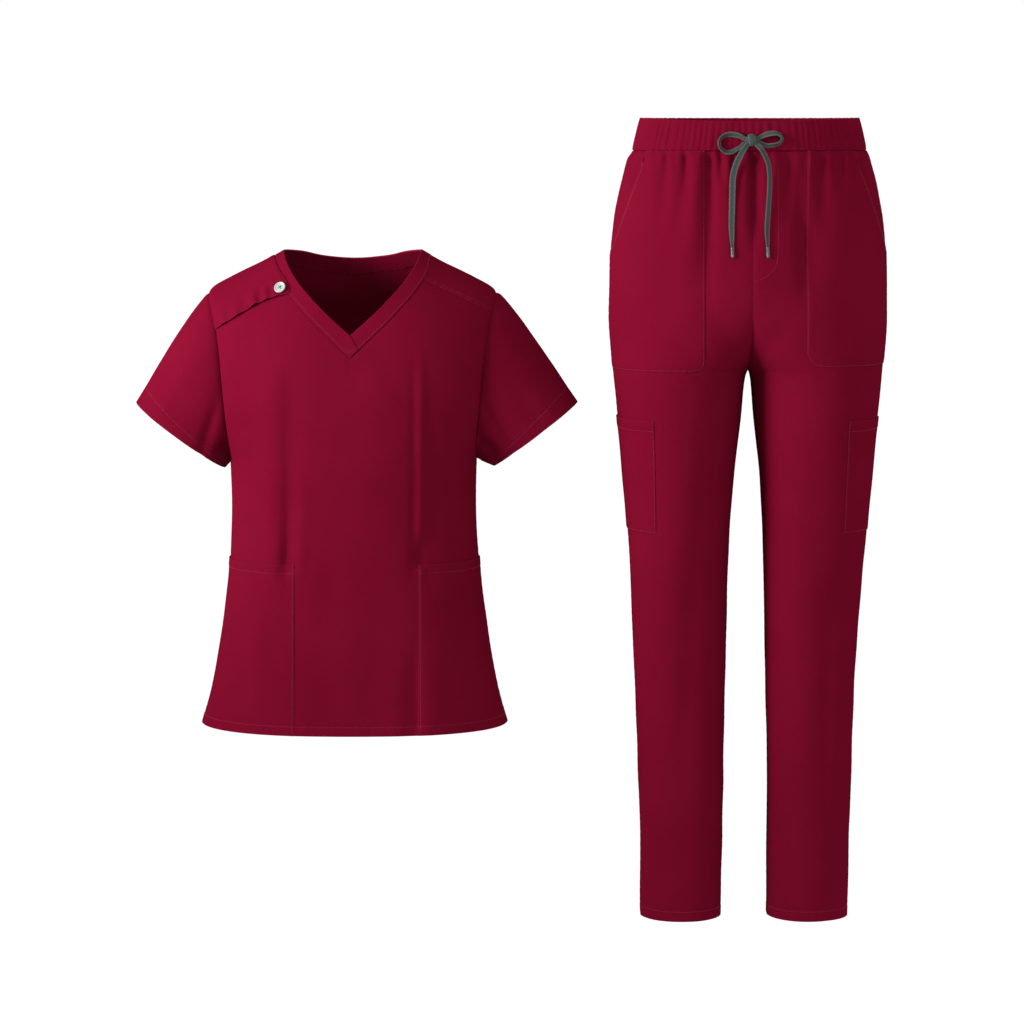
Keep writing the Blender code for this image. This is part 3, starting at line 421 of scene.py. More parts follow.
# On the sleeves the place across is the share of the way round from the shoulder down the front, and the height is the
# share of the way from the armhole to the hem.
SLEEVE_CREASES = {
    LEFT: (
        crease(0, 300, 50, 20, 0, 310, 400, 24, 3, 330, 800, 22, 2.6, 340, 1020, 20, 1.6),
        crease(0, 420, -20, 18, 2.6, 400, 400, 22, 3.6, 385, 850, 20, 0),
        crease(0, 140, 100, 30, 0, 150, 500, 34, -1.6, 160, 1020, 34, -1),
        crease(0, 580, -20, 18, 2.4, 610, 450, 22, 3.2, 620, 900, 20, 0),
        crease(0, 720, 100, 24, 0, 710, 500, 26, 3, 700, 1020, 24, 1.8),
        crease(0, 860, 200, 28, 0, 850, 700, 30, 1.6, 840, 1020, 30, 1.2),
    ),
    RIGHT: (
        crease(0, 310, 0, 20, 1, 320, 450, 24, 3.6, 330, 850, 22, 2, 335, 1020, 20, 1),
        crease(0, 410, -20, 18, 3, 395, 400, 22, 3.8, 380, 800, 20, 0),
        crease(0, 200, 200, 28, 0, 210, 600, 30, 1.4, 215, 1020, 30, 1.4),
        crease(0, 590, -20, 18, 2.6, 600, 500, 22, 3, 610, 920, 20, 0),
        crease(0, 700, 50, 24, 0, 695, 500, 26, 3.4, 690, 1020, 24, 1.6),
        crease(0, 880, 250, 28, 0, 870, 700, 30, 1.4, 860, 1020, 30, 1.4),
    ),
}
SAG_COUNT = 14
SAG_WAVES = np.random.default_rng(41)
SAG_DIRECTIONS = unit(SAG_WAVES.normal(size=(SAG_COUNT, 3)) * (1.0, 0.7, 0.55))
SAG_LENGTHS = np.geomspace(0.300, 0.034, SAG_COUNT)
SAG_PHASES = SAG_WAVES.uniform(0, 2 * math.pi, SAG_COUNT)
SAG_HEIGHT = 0.0052  # a wave's height as a share of its length
TOP_SAG, WAISTBAND_SAG = 0.8, 0.3  # shares of the sag that the closer cut of these pieces lets through
CREASE_STEPS = 6
SHARP_SIDE, SLOW_SIDE = 0.75, 1.55  # widths of the two sides of a lopsided crease, as shares of its own
SIDE_SEAM_HELD, LEG_SEAM_HELD, SHOULDER_HELD = 0.014, 0.030, 0.05  # creases fade out this near a seam
PLEAT_PITCH, PLEAT_DEPTH, PLEAT_FALL = 0.0131, 0.0017, 0.016
PUFF_PITCH, PUFF_HEIGHT, PUFF_BELOW, PUFF_REACH = 0.037, 0.0013, 0.012, 0.009


def creased(creases, across, height):
    """How far a table of creases pushes the cloth in at each place."""
    total = np.zeros(np.broadcast(across, height).shape)
    across, height = np.broadcast_arrays(across, height)
    for sharper, path in creases:
        rows = smooth_rows(path, CREASE_STEPS)
        reach = 3.2 * rows[:, 2].max() * (1.6 if sharper else 1)
        near = (
            (across > rows[:, 0].min() - reach)
            & (across < rows[:, 0].max() + reach)
            & (height > rows[:, 1].min() - reach)
            & (height < rows[:, 1].max() + reach)
        )
        if not near.any():
            continue
        a, h = across[near], height[near]
        best = np.full(a.shape, np.inf)
        off, width, depth = np.zeros_like(a), np.ones_like(a), np.zeros_like(a)
        for p, q in zip(rows, rows[1:]):
            run = q[:2] - p[:2]
            t = ((a - p[0]) * run[0] + (h - p[1]) * run[1]) / (run @ run)
            held = np.clip(t, 0, 1)
            da, dh = a - p[0] - held * run[0], h - p[1] - held * run[1]
            distance = np.hypot(da, dh)
            closer = distance < best
            best = np.where(closer, distance, best)
            side = np.sign(da * run[1] - dh * run[0])
            off = np.where(closer, side * distance, off)
            width = np.where(closer, p[2] + held * (q[2] - p[2]), width)
            depth = np.where(closer, p[3] + held * (q[3] - p[3]), depth)
        if sharper:
            upwards = rows[-1, 1] > rows[0, 1]
            to_right = off * (1 if upwards else -1)
            width = np.where(to_right * sharper > 0, width * SHARP_SIDE, width * SLOW_SIDE)
        total[near] += depth * np.exp(-((off / width) ** 2))
    return total


def sag(points):
    """Slow unevenness of hanging cloth, the same on every piece that passes a place."""
    turns = 2 * math.pi / SAG_LENGTHS
    waves = np.sin(points @ (SAG_DIRECTIONS * turns[:, None]).T + SAG_PHASES)
    return waves @ (SAG_HEIGHT * SAG_LENGTHS / math.sqrt(2)) * 0.5


def top_drape(points, side):
    x, z = points[..., 0], points[..., 2]
    off_shoulder = smooth_step(0.0, SHOULDER_HELD, shoulder_at(np.abs(x)) - z)
    off_side = smooth_step(0.0, SIDE_SEAM_HELD, np.abs(points[..., 1]))
    creases = creased(TOP_FRONT_CREASES if side == FRONT else TOP_BACK_CREASES, x, z)
    return (sag(points) * TOP_SAG - creases * off_side) * off_shoulder


def trouser_drape(points, side):
    x, z = points[..., 0] - TROUSERS_X, points[..., 2]
    off_seam = smooth_step(0.0, LEG_SEAM_HELD, np.abs(points[..., 1]))
    creases = creased(TROUSER_FRONT_CREASES if side == FRONT else TROUSER_BACK_CREASES, x, z)
    below = np.maximum(WAIST_SEAM - z, 0)
    held = 0.25 + 0.75 * smooth_step(0.0, 0.011, below)
    pleats = PLEAT_DEPTH * np.sin(x * 2 * math.pi / PLEAT_PITCH + 1.3 * np.sin(x * 61)) * np.exp(-below / PLEAT_FALL)
    uneven = 0.7 + 0.3 * np.sin(x * 2 * math.pi / PUFF_PITCH + 0.8)
    puff = PUFF_HEIGHT * off_seam * uneven * np.exp(-(((below - PUFF_BELOW) / PUFF_REACH) ** 2))
    return sag(points) + held * (pleats + puff - creases * off_seam)


# ---------------------------------------------------------------- shells of cloth

SEWN, TURNED, TOPSTITCHED, TUCKED, RAW = "sewn", "turned", "topstitched", "tucked", "raw"
SEWN_STEPS = (0, 0.0007, 0.0020, 0.0040)
RAW_STEPS = (0, 0.0007)
TOPSTITCH_INSET = 0.0019
TOPSTITCH_STEPS = (0, 0.0006, 0.0012, TOPSTITCH_INSET, 0.0027, 0.0045)
STITCH_ROW = {TURNED: 4, TOPSTITCHED: 3}
SEAM_SINK, SEAM_REACH, SEAM_CURVE = 0.0011, 0.0034, 1.3
ARMHOLE_SINK, DEEPEST_SINK = 0.0021, 0.0026
TURN_THICK = 0.00045
STITCH_GROOVE, GROOVE_HALF = 0.00026, 0.0008
PUCKER, PUCKER_REACH, HEM_PUCKER, HEM_PUCKER_REACH = 0.00022, 0.008, 0.000176, 0.006
PRESSED_DOWN, PRESSED_REACH = 0.00025, 0.0020  # a topstitched edge lies closer to the cloth under it
ROLLED_EDGE, ROLLED_REACH = 0.00040, 0.0009
RIM_ROUND = 0.0004
TUCK_DEPTH = 0.0024  # how far a seam allowance lies behind the piece it is sewn to


def turned_steps(width):
    return (0, 0.0007, 0.0030, width - 0.0012, width, width + 0.0012, width + 0.0035)


def tucked_steps(width):
    return (0, width - 0.0022, width - 0.0010, width, width + 0.0008, width + 0.0020, width + 0.0040)


def hump(distance, reach, power=2):
    """1 at the middle, falling away smoothly over a reach."""
    return np.exp(-((distance / reach) ** power))


def puckers(along):
    uneven = 1.7 * np.sin(along * 47)
    return np.sin(along * 2 * math.pi / 0.0113 + uneven) + 0.6 * np.sin(along * 2 * math.pi / 0.0071 + 2)


def grid_normals(grid, closed=False):
    if closed:
        wide = np.concatenate([grid[:, -1:], grid, grid[:, :1]], axis=1)
        across = np.gradient(wide, axis=1)[:, 1:-1]
    else:
        across = np.gradient(grid, axis=1)
    return unit(np.cross(across, np.gradient(grid, axis=0)))


def mesh_object(name, vertices, faces, uvs=None, edge_highlight=None):
    mesh = bpy.data.meshes.new(name)
    mesh.from_pydata(np.asarray(vertices, float).tolist(), [], [tuple(map(int, f)) for f in faces])
    mesh.update()
    if uvs is not None:
        layer = mesh.uv_layers.new(name="cloth")
        index = np.empty(len(mesh.loops), int)
        mesh.loops.foreach_get("vertex_index", index)
        layer.data.foreach_set("uv", np.asarray(uvs, float)[index].ravel())
    # A point attribute named edge says where a painted highlight goes along rims and raised edges.
    if edge_highlight is not None:
        mesh.attributes.new("edge", "FLOAT", "POINT").data.foreach_set("value", np.asarray(edge_highlight, float))
    mesh.shade_smooth()
    made = bpy.data.objects.new(name, mesh)
    bpy.context.scene.collection.objects.link(made)
    return made


def shell(name, middle, wall, outside, inside, closed=False):
    """A closed wall of cloth about a grid of points, with rounded rims. Returns the piece and its outer face."""
    rows, columns = middle.shape[:2]
    normals = grid_normals(middle, closed)
    outer = middle + normals * (wall / 2 + outside)[..., None]
    inner = middle - normals * (wall / 2 + inside)[..., None]
    index = np.arange(rows * columns).reshape(rows, columns)
    total = rows * columns
    uv = np.stack([lengths_along(middle, 1), lengths_along(middle, 0)], axis=-1).reshape(-1, 2)
    ends = [(np.s_[0], np.s_[1]), (np.s_[-1], np.s_[-2])]
    if not closed:
        ends += [(np.s_[:, 0], np.s_[:, 1]), (np.s_[:, -1], np.s_[:, -2])]
    # Rims are marked for a painted highlight.
    edge_highlight = np.zeros((rows, columns))
    for edge, within in ends:
        outwards = unit(middle[edge] - middle[within])
        outer[edge] -= outwards * RIM_ROUND
        inner[edge] -= outwards * RIM_ROUND
        edge_highlight[edge] = 1
    quads = np.stack([index[:-1, :-1], index[:-1, 1:], index[1:, 1:], index[1:, :-1]], axis=-1).reshape(-1, 4)
    if closed:
        loops = [index[0], index[-1, ::-1]]
        wrap = np.stack([index[:-1, -1], index[:-1, 0], index[1:, 0], index[1:, -1]], axis=-1)
        quads = np.concatenate([quads, wrap])
    else:
        loops = [np.concatenate([index[0, :-1], index[:-1, -1], index[-1, :0:-1], index[:0:-1, 0]])]
    vertices, uvs, faces = [outer.reshape(-1, 3), inner.reshape(-1, 3)], [uv, uv], [quads, quads[:, ::-1] + total]
    made = 2 * total
    for loop in loops:
        vertices.append(middle.reshape(-1, 3)[loop])
        uvs.append(uv[loop])
        rim = np.arange(len(loop)) + made
        made += len(loop)
        ahead, rim_ahead = np.roll(loop, -1), np.roll(rim, -1)
        faces.append(np.stack([ahead, loop, rim, rim_ahead], axis=-1))
        faces.append(np.stack([rim_ahead, rim, loop + total, ahead + total], axis=-1))
    edge_highlight = np.concatenate([edge_highlight.ravel(), edge_highlight.ravel(), np.ones(made - 2 * total)])
    piece = mesh_object(name, np.concatenate(vertices), np.concatenate(faces), np.concatenate(uvs), edge_highlight)
    return piece, outer, normals


def cloth_piece(name, base, drape, edges, wall=CLOTH, lift=0.0, closed=False):
    """One sewn piece from its filled-out form. Edges are given as bottom, top, left and right.

    The creases go into the middle surface, then the edges are sewn down, turned or topstitched.
    """
    middle = base + grid_normals(base, closed) * (drape + lift)[..., None]
    up, across = lengths_along(base, 0), lengths_along(base, 1)
    distances = {
        "bottom": (up, across),
        "top": (up[-1:] - up, across),
        "left": (across, up),
        "right": (across[:, -1:] - across, up),
    }
    sink, outside, inside = (np.zeros(base.shape[:2]) for _ in range(3))
    tucks = np.zeros_like(sink)
    for where, edge in edges.items():
        kind, width = edge if isinstance(edge, tuple) else (edge, SEAM_SINK if edge == SEWN else TOPSTITCH_INSET)
        away, along = distances[where]
        if kind == SEWN:
            sink += width * hump(away, SEAM_REACH, SEAM_CURVE)
            sink += PUCKER * puckers(along) * hump(away, PUCKER_REACH, 1)
        if kind == TURNED:
            outside += TURN_THICK * (1 - smooth_step(width - 0.0004, width + 0.0012, away))
            inside += TURN_THICK * (1 - smooth_step(width, width + 0.0008, away))
        if kind == TOPSTITCHED:
            sink += PRESSED_DOWN * hump(away, PRESSED_REACH)
            outside -= ROLLED_EDGE * hump(away, ROLLED_REACH)
        if kind in (TURNED, TOPSTITCHED):
            outside -= STITCH_GROOVE * hump(away - width, GROOVE_HALF)
            sink += HEM_PUCKER * puckers(along) * hump(away - width, HEM_PUCKER_REACH)
        if kind == TUCKED:
            tucks += TUCK_DEPTH * (1 - smooth_step(width - 0.0005, width + 0.0022, away))
            tucks += PUCKER * puckers(along) * hump(np.abs(away - width), PUCKER_REACH, 1)
    sink = np.minimum(sink, DEEPEST_SINK) + tucks
    middle = middle - grid_normals(middle, closed) * sink[..., None]
    piece, outer, normals = shell(name, middle, wall, outside, inside, closed)
    return dict(piece=piece, outer=outer, normals=normals, middle=middle, edges=edges)


# ---------------------------------------------------------------- materials


COLOUR_A, COLOUR_B, MIXED_COLOUR = 6, 7, 2  # a Mix node's colour sockets
# Shares of the colour: painted shade in the hollows between threads, and a painted highlight along rims and raised
# edges.
THREAD_HOLLOW_SHADE, RIM_HIGHLIGHT, THREAD_HEIGHT = 0.16, 0.35, 0.0002
WAVES_TO_SCALE = 2 * math.pi / 20 / 2  # a wave texture's scale for one pair of threads a metre


def new_material(name):
    material = bpy.data.materials.new(name)
    material.use_nodes = True
    return material, material.node_tree.nodes, material.node_tree.links, material.node_tree.nodes["Principled BSDF"]


def value_socket(group, name, default, low=0.0, high=10000.0):
    socket = group.interface.new_socket(name, in_out="INPUT", socket_type="NodeSocketFloat")
    socket.default_value, socket.min_value, socket.max_value = default, low, high


def of_kind(nodes, kind, **settings):
    """A new node with its own settings. A setting that names an input gives that input's value."""
    made = nodes.new(kind)
    for name, value in settings.items():
        if hasattr(made, name):
            setattr(made, name, value)
        else:
            made.inputs[name.replace("_", " ")].default_value = value
    return made


def reckoned(nodes, links, operation, first, second):
    """What a Math node makes of two outputs, or of an output and a number."""
    made = of_kind(nodes, "ShaderNodeMath", operation=operation)
    links.new(first, made.inputs[0])
    if isinstance(second, float):
        made.inputs[1].default_value = second
    else:
        links.new(second, made.inputs[1])
    return made.outputs[0]


def weave_group():
    """Warp and weft threads over and under each other, from a map in metres: their height, and a painted shade that is
    darkest in the hollows between them.
    """
    group = bpy.data.node_groups.new("weave", "ShaderNodeTree")
    group.interface.new_socket("Map", in_out="INPUT", socket_type="NodeSocketVector")
    value_socket(group, "Threads per metre", 1700)
    value_socket(group, "Unevenness", 1.2)
    group.interface.new_socket("Height", in_out="OUTPUT", socket_type="NodeSocketFloat")
    group.interface.new_socket("Shade", in_out="OUTPUT", socket_type="NodeSocketFloat")
    nodes, links = group.nodes, group.links
    given, put_out = nodes.new("NodeGroupInput"), nodes.new("NodeGroupOutput")
    scale = reckoned(nodes, links, "MULTIPLY", given.outputs["Threads per metre"], WAVES_TO_SCALE)
    threads = []
    for direction in ("X", "Y"):
        wave = of_kind(nodes, "ShaderNodeTexWave", bands_direction=direction, Detail=1.0, Detail_Scale=0.18)
        links.new(given.outputs["Map"], wave.inputs["Vector"])
        links.new(scale, wave.inputs["Scale"])
        links.new(given.outputs["Unevenness"], wave.inputs["Distortion"])
        threads.append(wave.outputs["Fac"])
    links.new(reckoned(nodes, links, "MAXIMUM", *threads), put_out.inputs["Height"])
    # Painted shade: darkest where both threads dip.
    links.new(reckoned(nodes, links, "MULTIPLY", *threads), put_out.inputs["Shade"])
    return group


def mottle_group():
    """Slow and fine unevenness of a dyed finish, as one value about 0.5."""
    group = bpy.data.node_groups.new("mottle", "ShaderNodeTree")
    group.interface.new_socket("Place", in_out="INPUT", socket_type="NodeSocketVector")
    value_socket(group, "Patches per metre", 9)
    value_socket(group, "Flecks per metre", 420)
    value_socket(group, "Fleck share", 0.35, 0, 1)
    group.interface.new_socket("Value", in_out="OUTPUT", socket_type="NodeSocketFloat")
    nodes, links = group.nodes, group.links
    given, put_out = nodes.new("NodeGroupInput"), nodes.new("NodeGroupOutput")
    mix = nodes.new("ShaderNodeMix")
    links.new(given.outputs["Fleck share"], mix.inputs["Factor"])
    for socket, size, detail in ((2, "Patches per metre", 3.0), (3, "Flecks per metre", 1.0)):
        noise = of_kind(nodes, "ShaderNodeTexNoise", Detail=detail)
        links.new(given.outputs["Place"], noise.inputs["Vector"])
        links.new(given.outputs[size], noise.inputs["Scale"])
        links.new(noise.outputs["Fac"], mix.inputs[socket])
    links.new(mix.outputs[0], put_out.inputs["Value"])
    return group


def mottled_shade(nodes, links, mottle, deep, colour, half_range, **sizes):
    """Two near shades of a colour, mottled together over the piece's own space."""
    place = nodes.new("ShaderNodeTexCoord")
    mottled = of_kind(nodes, "ShaderNodeGroup", node_tree=mottle)
    for name, value in sizes.items():
        mottled.inputs[name.replace("_", " ")].default_value = value
    links.new(place.outputs["Object"], mottled.inputs["Place"])
    shades = nodes.new("ShaderNodeValToRGB")
    first, last = shades.color_ramp.elements
    first.position, first.color = 0.5 - half_range, deep
    last.position, last.color = 0.5 + half_range, colour
    links.new(mottled.outputs["Value"], shades.inputs["Fac"])
    return shades.outputs["Color"]


def cloth_material(
    name, weave, mottle, colour, deep, edge_highlight, threads, bump, roughness, sheen=0.0, sheen_tint=(1, 1, 1, 1)
):
    """Woven cloth: two near shades mottled together, with painted shade in the hollows between its threads and a
    painted highlight along its rims and raised edges.
    """
    material, nodes, links, shader = new_material(name)
    own_map = of_kind(nodes, "ShaderNodeUVMap", uv_map="cloth")
    woven = of_kind(nodes, "ShaderNodeGroup", node_tree=weave)
    woven.inputs["Threads per metre"].default_value = threads
    links.new(own_map.outputs["UV"], woven.inputs["Map"])
    # Painted shade in the hollows between threads.
    between = of_kind(nodes, "ShaderNodeMix", data_type="RGBA", blend_type="MULTIPLY", Factor=THREAD_HOLLOW_SHADE)
    links.new(mottled_shade(nodes, links, mottle, deep, colour, 0.20), between.inputs[COLOUR_A])
    links.new(woven.outputs["Shade"], between.inputs[COLOUR_B])
    # Painted highlight: a paler colour mixed in along rims and raised edges.
    edge = of_kind(nodes, "ShaderNodeAttribute", attribute_name="edge")
    highlighted = of_kind(nodes, "ShaderNodeMix", data_type="RGBA")
    highlighted.inputs[COLOUR_B].default_value = edge_highlight
    links.new(reckoned(nodes, links, "MULTIPLY", edge.outputs["Fac"], RIM_HIGHLIGHT), highlighted.inputs["Factor"])
    links.new(between.outputs[MIXED_COLOUR], highlighted.inputs[COLOUR_A])
    links.new(highlighted.outputs[MIXED_COLOUR], shader.inputs["Base Color"])
    raised = of_kind(nodes, "ShaderNodeBump", Strength=bump, Distance=THREAD_HEIGHT)
    links.new(woven.outputs["Height"], raised.inputs["Height"])
    links.new(raised.outputs["Normal"], shader.inputs["Normal"])
    shader.inputs["Roughness"].default_value = roughness
    shader.inputs["Specular IOR Level"].default_value = 0.0
    shader.inputs["Sheen Weight"].default_value = sheen
    shader.inputs["Sheen Roughness"].default_value = 0.45
    shader.inputs["Sheen Tint"].default_value = sheen_tint
    return material


def plain_material(name, mottle, colour, second, roughness, specular=0.5):
    material, nodes, links, shader = new_material(name)
    shade = mottled_shade(nodes, links, mottle, second, colour, 0.15, Patches_per_metre=90, Flecks_per_metre=1400)
    links.new(shade, shader.inputs["Base Color"])
    shader.inputs["Roughness"].default_value = roughness
    shader.inputs["Specular IOR Level"].default_value = specular
    return material


WINE = (0.108, 0.0026, 0.0128, 1)
WINE_DEEP = (0.094, 0.0018, 0.0105, 1)
# A paler wine, painted along rims as a highlight.
WINE_HIGHLIGHT = (0.150, 0.008, 0.030, 1)
WINE_THREAD = (0.112, 0.0036, 0.0160, 1)
WINE_THREAD_DEEP = (0.088, 0.0024, 0.0120, 1)
CORD_GREY = (0.040, 0.050, 0.046, 1)
CORD_DEEP = (0.028, 0.035, 0.032, 1)
# A paler grey, painted along the tape's raised selvedges and the knot's lips as a highlight.
CORD_HIGHLIGHT = (0.125, 0.140, 0.130, 1)
AGLET_GREY = (0.024, 0.029, 0.028, 1)
AGLET_DEEP = (0.016, 0.019, 0.018, 1)
BUTTON_WHITE = (0.235, 0.250, 0.243, 1)
BUTTON_SHADE = (0.205, 0.222, 0.214, 1)
BUTTON_THREAD = (0.120, 0.160, 0.145, 1)
BUTTON_THREAD_DEEP = (0.085, 0.120, 0.108, 1)
PAPER = (0.06, 0.06, 0.06, 1)

weave, mottle = weave_group(), mottle_group()
wine_cloth = cloth_material("wine_woven_cloth", weave, mottle, WINE, WINE_DEEP, WINE_HIGHLIGHT, 1900, 0.30, 0.48)
wine_rib = cloth_material("wine_waistband_cloth", weave, mottle, WINE, WINE_DEEP, WINE_HIGHLIGHT, 1500, 0.40, 0.50)
wine_thread = plain_material("wine_sewing_thread", mottle, WINE_THREAD, WINE_THREAD_DEEP, 0.6, 0.3)
grey_tape = cloth_material(
    "grey_braided_tape", weave, mottle, CORD_GREY, CORD_DEEP, CORD_HIGHLIGHT, 900, 0.55, 0.78, 0.04, (0.9, 1.0, 0.95, 1)
)
grey_tip = plain_material("grey_wrapped_tip", mottle, AGLET_GREY, AGLET_DEEP, 0.45)
button_white = plain_material("white_button_plastic", mottle, BUTTON_WHITE, BUTTON_SHADE, 0.30)
button_thread = plain_material("button_thread", mottle, BUTTON_THREAD, BUTTON_THREAD_DEEP, 0.7, 0.3)
paper = plain_material("studio_paper", mottle, PAPER, PAPER, 0.9, 0.1)


# ---------------------------------------------------------------- camera, light and floor

CAMERA_PLACE = (0.2016, -4.5, 0.1668)
CAMERA_DOWN = math.radians(6.356)
CAMERA_LENS = 124.35
FLOOR_HEIGHT = -1.02


def look_from(made, place, at):
    made.location = place
    made.rotation_euler = (Vector(at) - Vector(place)).to_track_quat("-Z", "Y").to_euler()


def area_light(name, place, at, size, power, colour, spread_angle=math.pi):
    light = bpy.data.lights.new(name, "AREA")
    light.shape, light.size, light.energy, light.color, light.spread = "DISK", size, power, colour, spread_angle
    made = bpy.data.objects.new(name, light)
    bpy.context.scene.collection.objects.link(made)
    look_from(made, place, at)


def studio():
    scene = bpy.context.scene
    scene.view_settings.view_transform = "Standard"
    lens = bpy.data.cameras.new("camera")
    lens.lens, lens.sensor_width = CAMERA_LENS, 36.0
    camera = bpy.data.objects.new("camera", lens)
    camera.location, camera.rotation_euler = CAMERA_PLACE, (math.pi / 2 - CAMERA_DOWN, 0, 0)
    scene.collection.objects.link(camera)
    scene.camera = camera
    world = bpy.data.worlds.new("studio")
    world.use_nodes = True
    world.node_tree.nodes["Background"].inputs["Color"].default_value = (1, 1, 1, 1)
    world.node_tree.nodes["Background"].inputs["Strength"].default_value = 1.0
    scene.world = world
    area_light("key", (-2.35, -1.20, 0.48), (-0.15, 0, 0.14), 1.3, 19, (1.0, 0.98, 0.99), math.radians(46))
    area_light("fill", (3.0, -2.6, 1.0), (0.25, 0, -0.3), 2.0, 58, (1.0, 0.99, 1.0))
    floor = mesh_object(
        "floor", [(30 * x, 30 * y, FLOOR_HEIGHT) for x, y in ((-1, -1), (1, -1), (1, 1), (-1, 1))], [(0, 1, 2, 3)]
    )
    shine = paper.node_tree.nodes["Principled BSDF"].inputs
    shine["Emission Color"].default_value = (1, 1, 1, 1)
    shine["Emission Strength"].default_value = 0.95
    floor.data.materials.append(paper)


studio()


# ---------------------------------------------------------------- the drawstring

TAPE_WIDTH, TAPE_THICK = 0.0080, 0.0020
TAPE_GAP = 0.0012
TAPE_SIDES = 28
KNOT_X, KNOT_Z = TROUSERS_X - 0.0030, 0.1397
KNOT_SIZE = (0.0098, 0.0056, 0.0078)
WRAP_LEAN, WRAP_HALF = 0.18, 0.50  # the wrapping turn of the knot, as shares of its size
SELVEDGE, SELVEDGE_REACH = 0.80, 0.16  # the tape's raised edge, as shares of its half width
AGLET_RADIUS, AGLET_LENGTH = 0.0024, 0.0140
TIP_GAP = 0.0003

# Rows: x from the knot, z, how far it stands off the cloth, its tilt in degrees and its width as a share of the whole.
LOOP_ROUTES = {
    LEFT: (
        (-0.0068, 0.1404, 0.0030, 15, 0.60),
        (-0.0165, 0.1452, 0.0015, 25, 0.85),
        (-0.0265, 0.1465, 0.0005, 35, 1.0),
        (-0.0360, 0.1440, 0.0000, 55, 1.0),
        (-0.0405, 0.1362, 0.0000, 65, 1.0),
        (-0.0370, 0.1280, 0.0000, 60, 1.0),
        (-0.0285, 0.1243, 0.0000, 45, 1.0),
        (-0.0190, 0.1275, 0.0000, 25, 0.75),
        (-0.0070, 0.1368, 0.0025, 15, 0.60),
    ),
    RIGHT: (
        (0.0068, 0.1414, 0.0030, 15, 0.60),
        (0.0165, 0.1458, 0.0015, 25, 0.85),
        (0.0255, 0.1480, 0.0005, 40, 1.0),
        (0.0335, 0.1470, 0.0000, 60, 1.0),
        (0.0378, 0.1418, 0.0000, 70, 1.0),
        (0.0345, 0.1358, 0.0000, 60, 1.0),
        (0.0265, 0.1333, 0.0000, 45, 0.95),
        (0.0185, 0.1330, 0.0000, 25, 0.75),
        (0.0072, 0.1376, 0.0025, 15, 0.60),
    ),
}
TAIL_ROUTES = {
    LEFT: (
        (-0.0040, 0.1362, 0.0050, 10, 0.75),
        (-0.0108, 0.1265, 0.0065, 5, 0.90),
        (-0.0178, 0.1130, 0.0045, 0, 1.0),
        (-0.0222, 0.0990, 0.0012, 0, 1.0),
        (-0.0243, 0.0820, 0.0000, 0, 1.0),
        (-0.0248, 0.0560, 0.0000, 0, 1.0),
        (-0.0246, 0.0300, 0.0000, 0, 0.90),
        (-0.0238, 0.0085, 0.0000, 0, 0.52),
    ),
    RIGHT: (
        (0.0040, 0.1366, 0.0050, 10, 0.75),
        (0.0128, 0.1268, 0.0065, 30, 0.90),
        (0.0195, 0.1130, 0.0045, 40, 1.0),
        (0.0220, 0.0990, 0.0012, 42, 1.0),
        (0.0222, 0.0820, 0.0000, 40, 1.0),
        (0.0206, 0.0560, 0.0000, 40, 1.0),
        (0.0190, 0.0300, 0.0000, 30, 0.90),
        (0.0200, 0.0085, 0.0000, 15, 0.52),
    ),
}


def trouser_front_y(x, z):
    """The outer face of the cloth on the front, x from the trousers' middle."""
    width, depth = trouser_width_at(z), trouser_depth_at[FRONT](z)
    y = depth * (1 - np.clip(np.abs(x) / width, 0, 1) ** TROUSER_FULLNESS) ** (1 / TROUSER_FULLNESS)
    return -(y + np.where(z > WAIST_SEAM, WAIST_CLOTH, CLOTH) / 2)


def tape_frames(route):
    """The tape's line, its direction, its width's direction and its face's direction, and its half width."""
    rows = smooth_rows(route, 8)
    path = resampled(rows, np.linspace(0, 1, 108))
    x, z, stand_off, tilt, share = path.T
    tilt, half = np.radians(tilt), TAPE_WIDTH / 2 * share
    off = TAPE_GAP + half * np.sin(tilt) + TAPE_THICK / 2 * np.cos(tilt) + stand_off
    line = np.stack([KNOT_X + x, trouser_front_y(KNOT_X - TROUSERS_X + x, z) - off, z], axis=1)
    along = unit(np.gradient(line, axis=0))
    flat = unit(np.cross((0, FRONT, 0), along))
    across = np.cross(along, flat) * np.sin(tilt)[:, None] - flat * np.cos(tilt)[:, None]
    return line, along, across, np.cross(along, across), half


def capped_tube(name, rings, uvs, edge_highlight):
    """A closed tube through rings of points, its ends closed to their middles."""
    count, sides = rings.shape[:2]
    index = np.arange(count * sides).reshape(count, sides)
    ahead = np.roll(index, -1, axis=1)
    faces = np.stack([index[:-1], ahead[:-1], ahead[1:], index[1:]], axis=-1).reshape(-1, 4).tolist()
    ends = np.array([rings[0].mean(axis=0), rings[-1].mean(axis=0)])
    first, last = count * sides, count * sides + 1
    faces += [(first, int(b), int(a)) for a, b in zip(index[0], ahead[0])]
    faces += [(last, int(a), int(b)) for a, b in zip(index[-1], ahead[-1])]
    vertices = np.concatenate([rings.reshape(-1, 3), ends])
    uvs = np.concatenate([uvs.reshape(-1, 2), uvs[0, :1], uvs[-1, :1]])
    edge_highlight = np.concatenate([edge_highlight.ravel(), edge_highlight[0, :1], edge_highlight[-1, :1]])
    made = mesh_object(name, vertices, faces, uvs, edge_highlight)
    out_of_mesh(made)
    return made


def out_of_mesh(made):
    """Turns all faces outwards."""
    work = bmesh.new()
    work.from_mesh(made.data)
    bmesh.ops.recalc_face_normals(work, faces=work.faces)
    work.to_mesh(made.data)
    work.free()


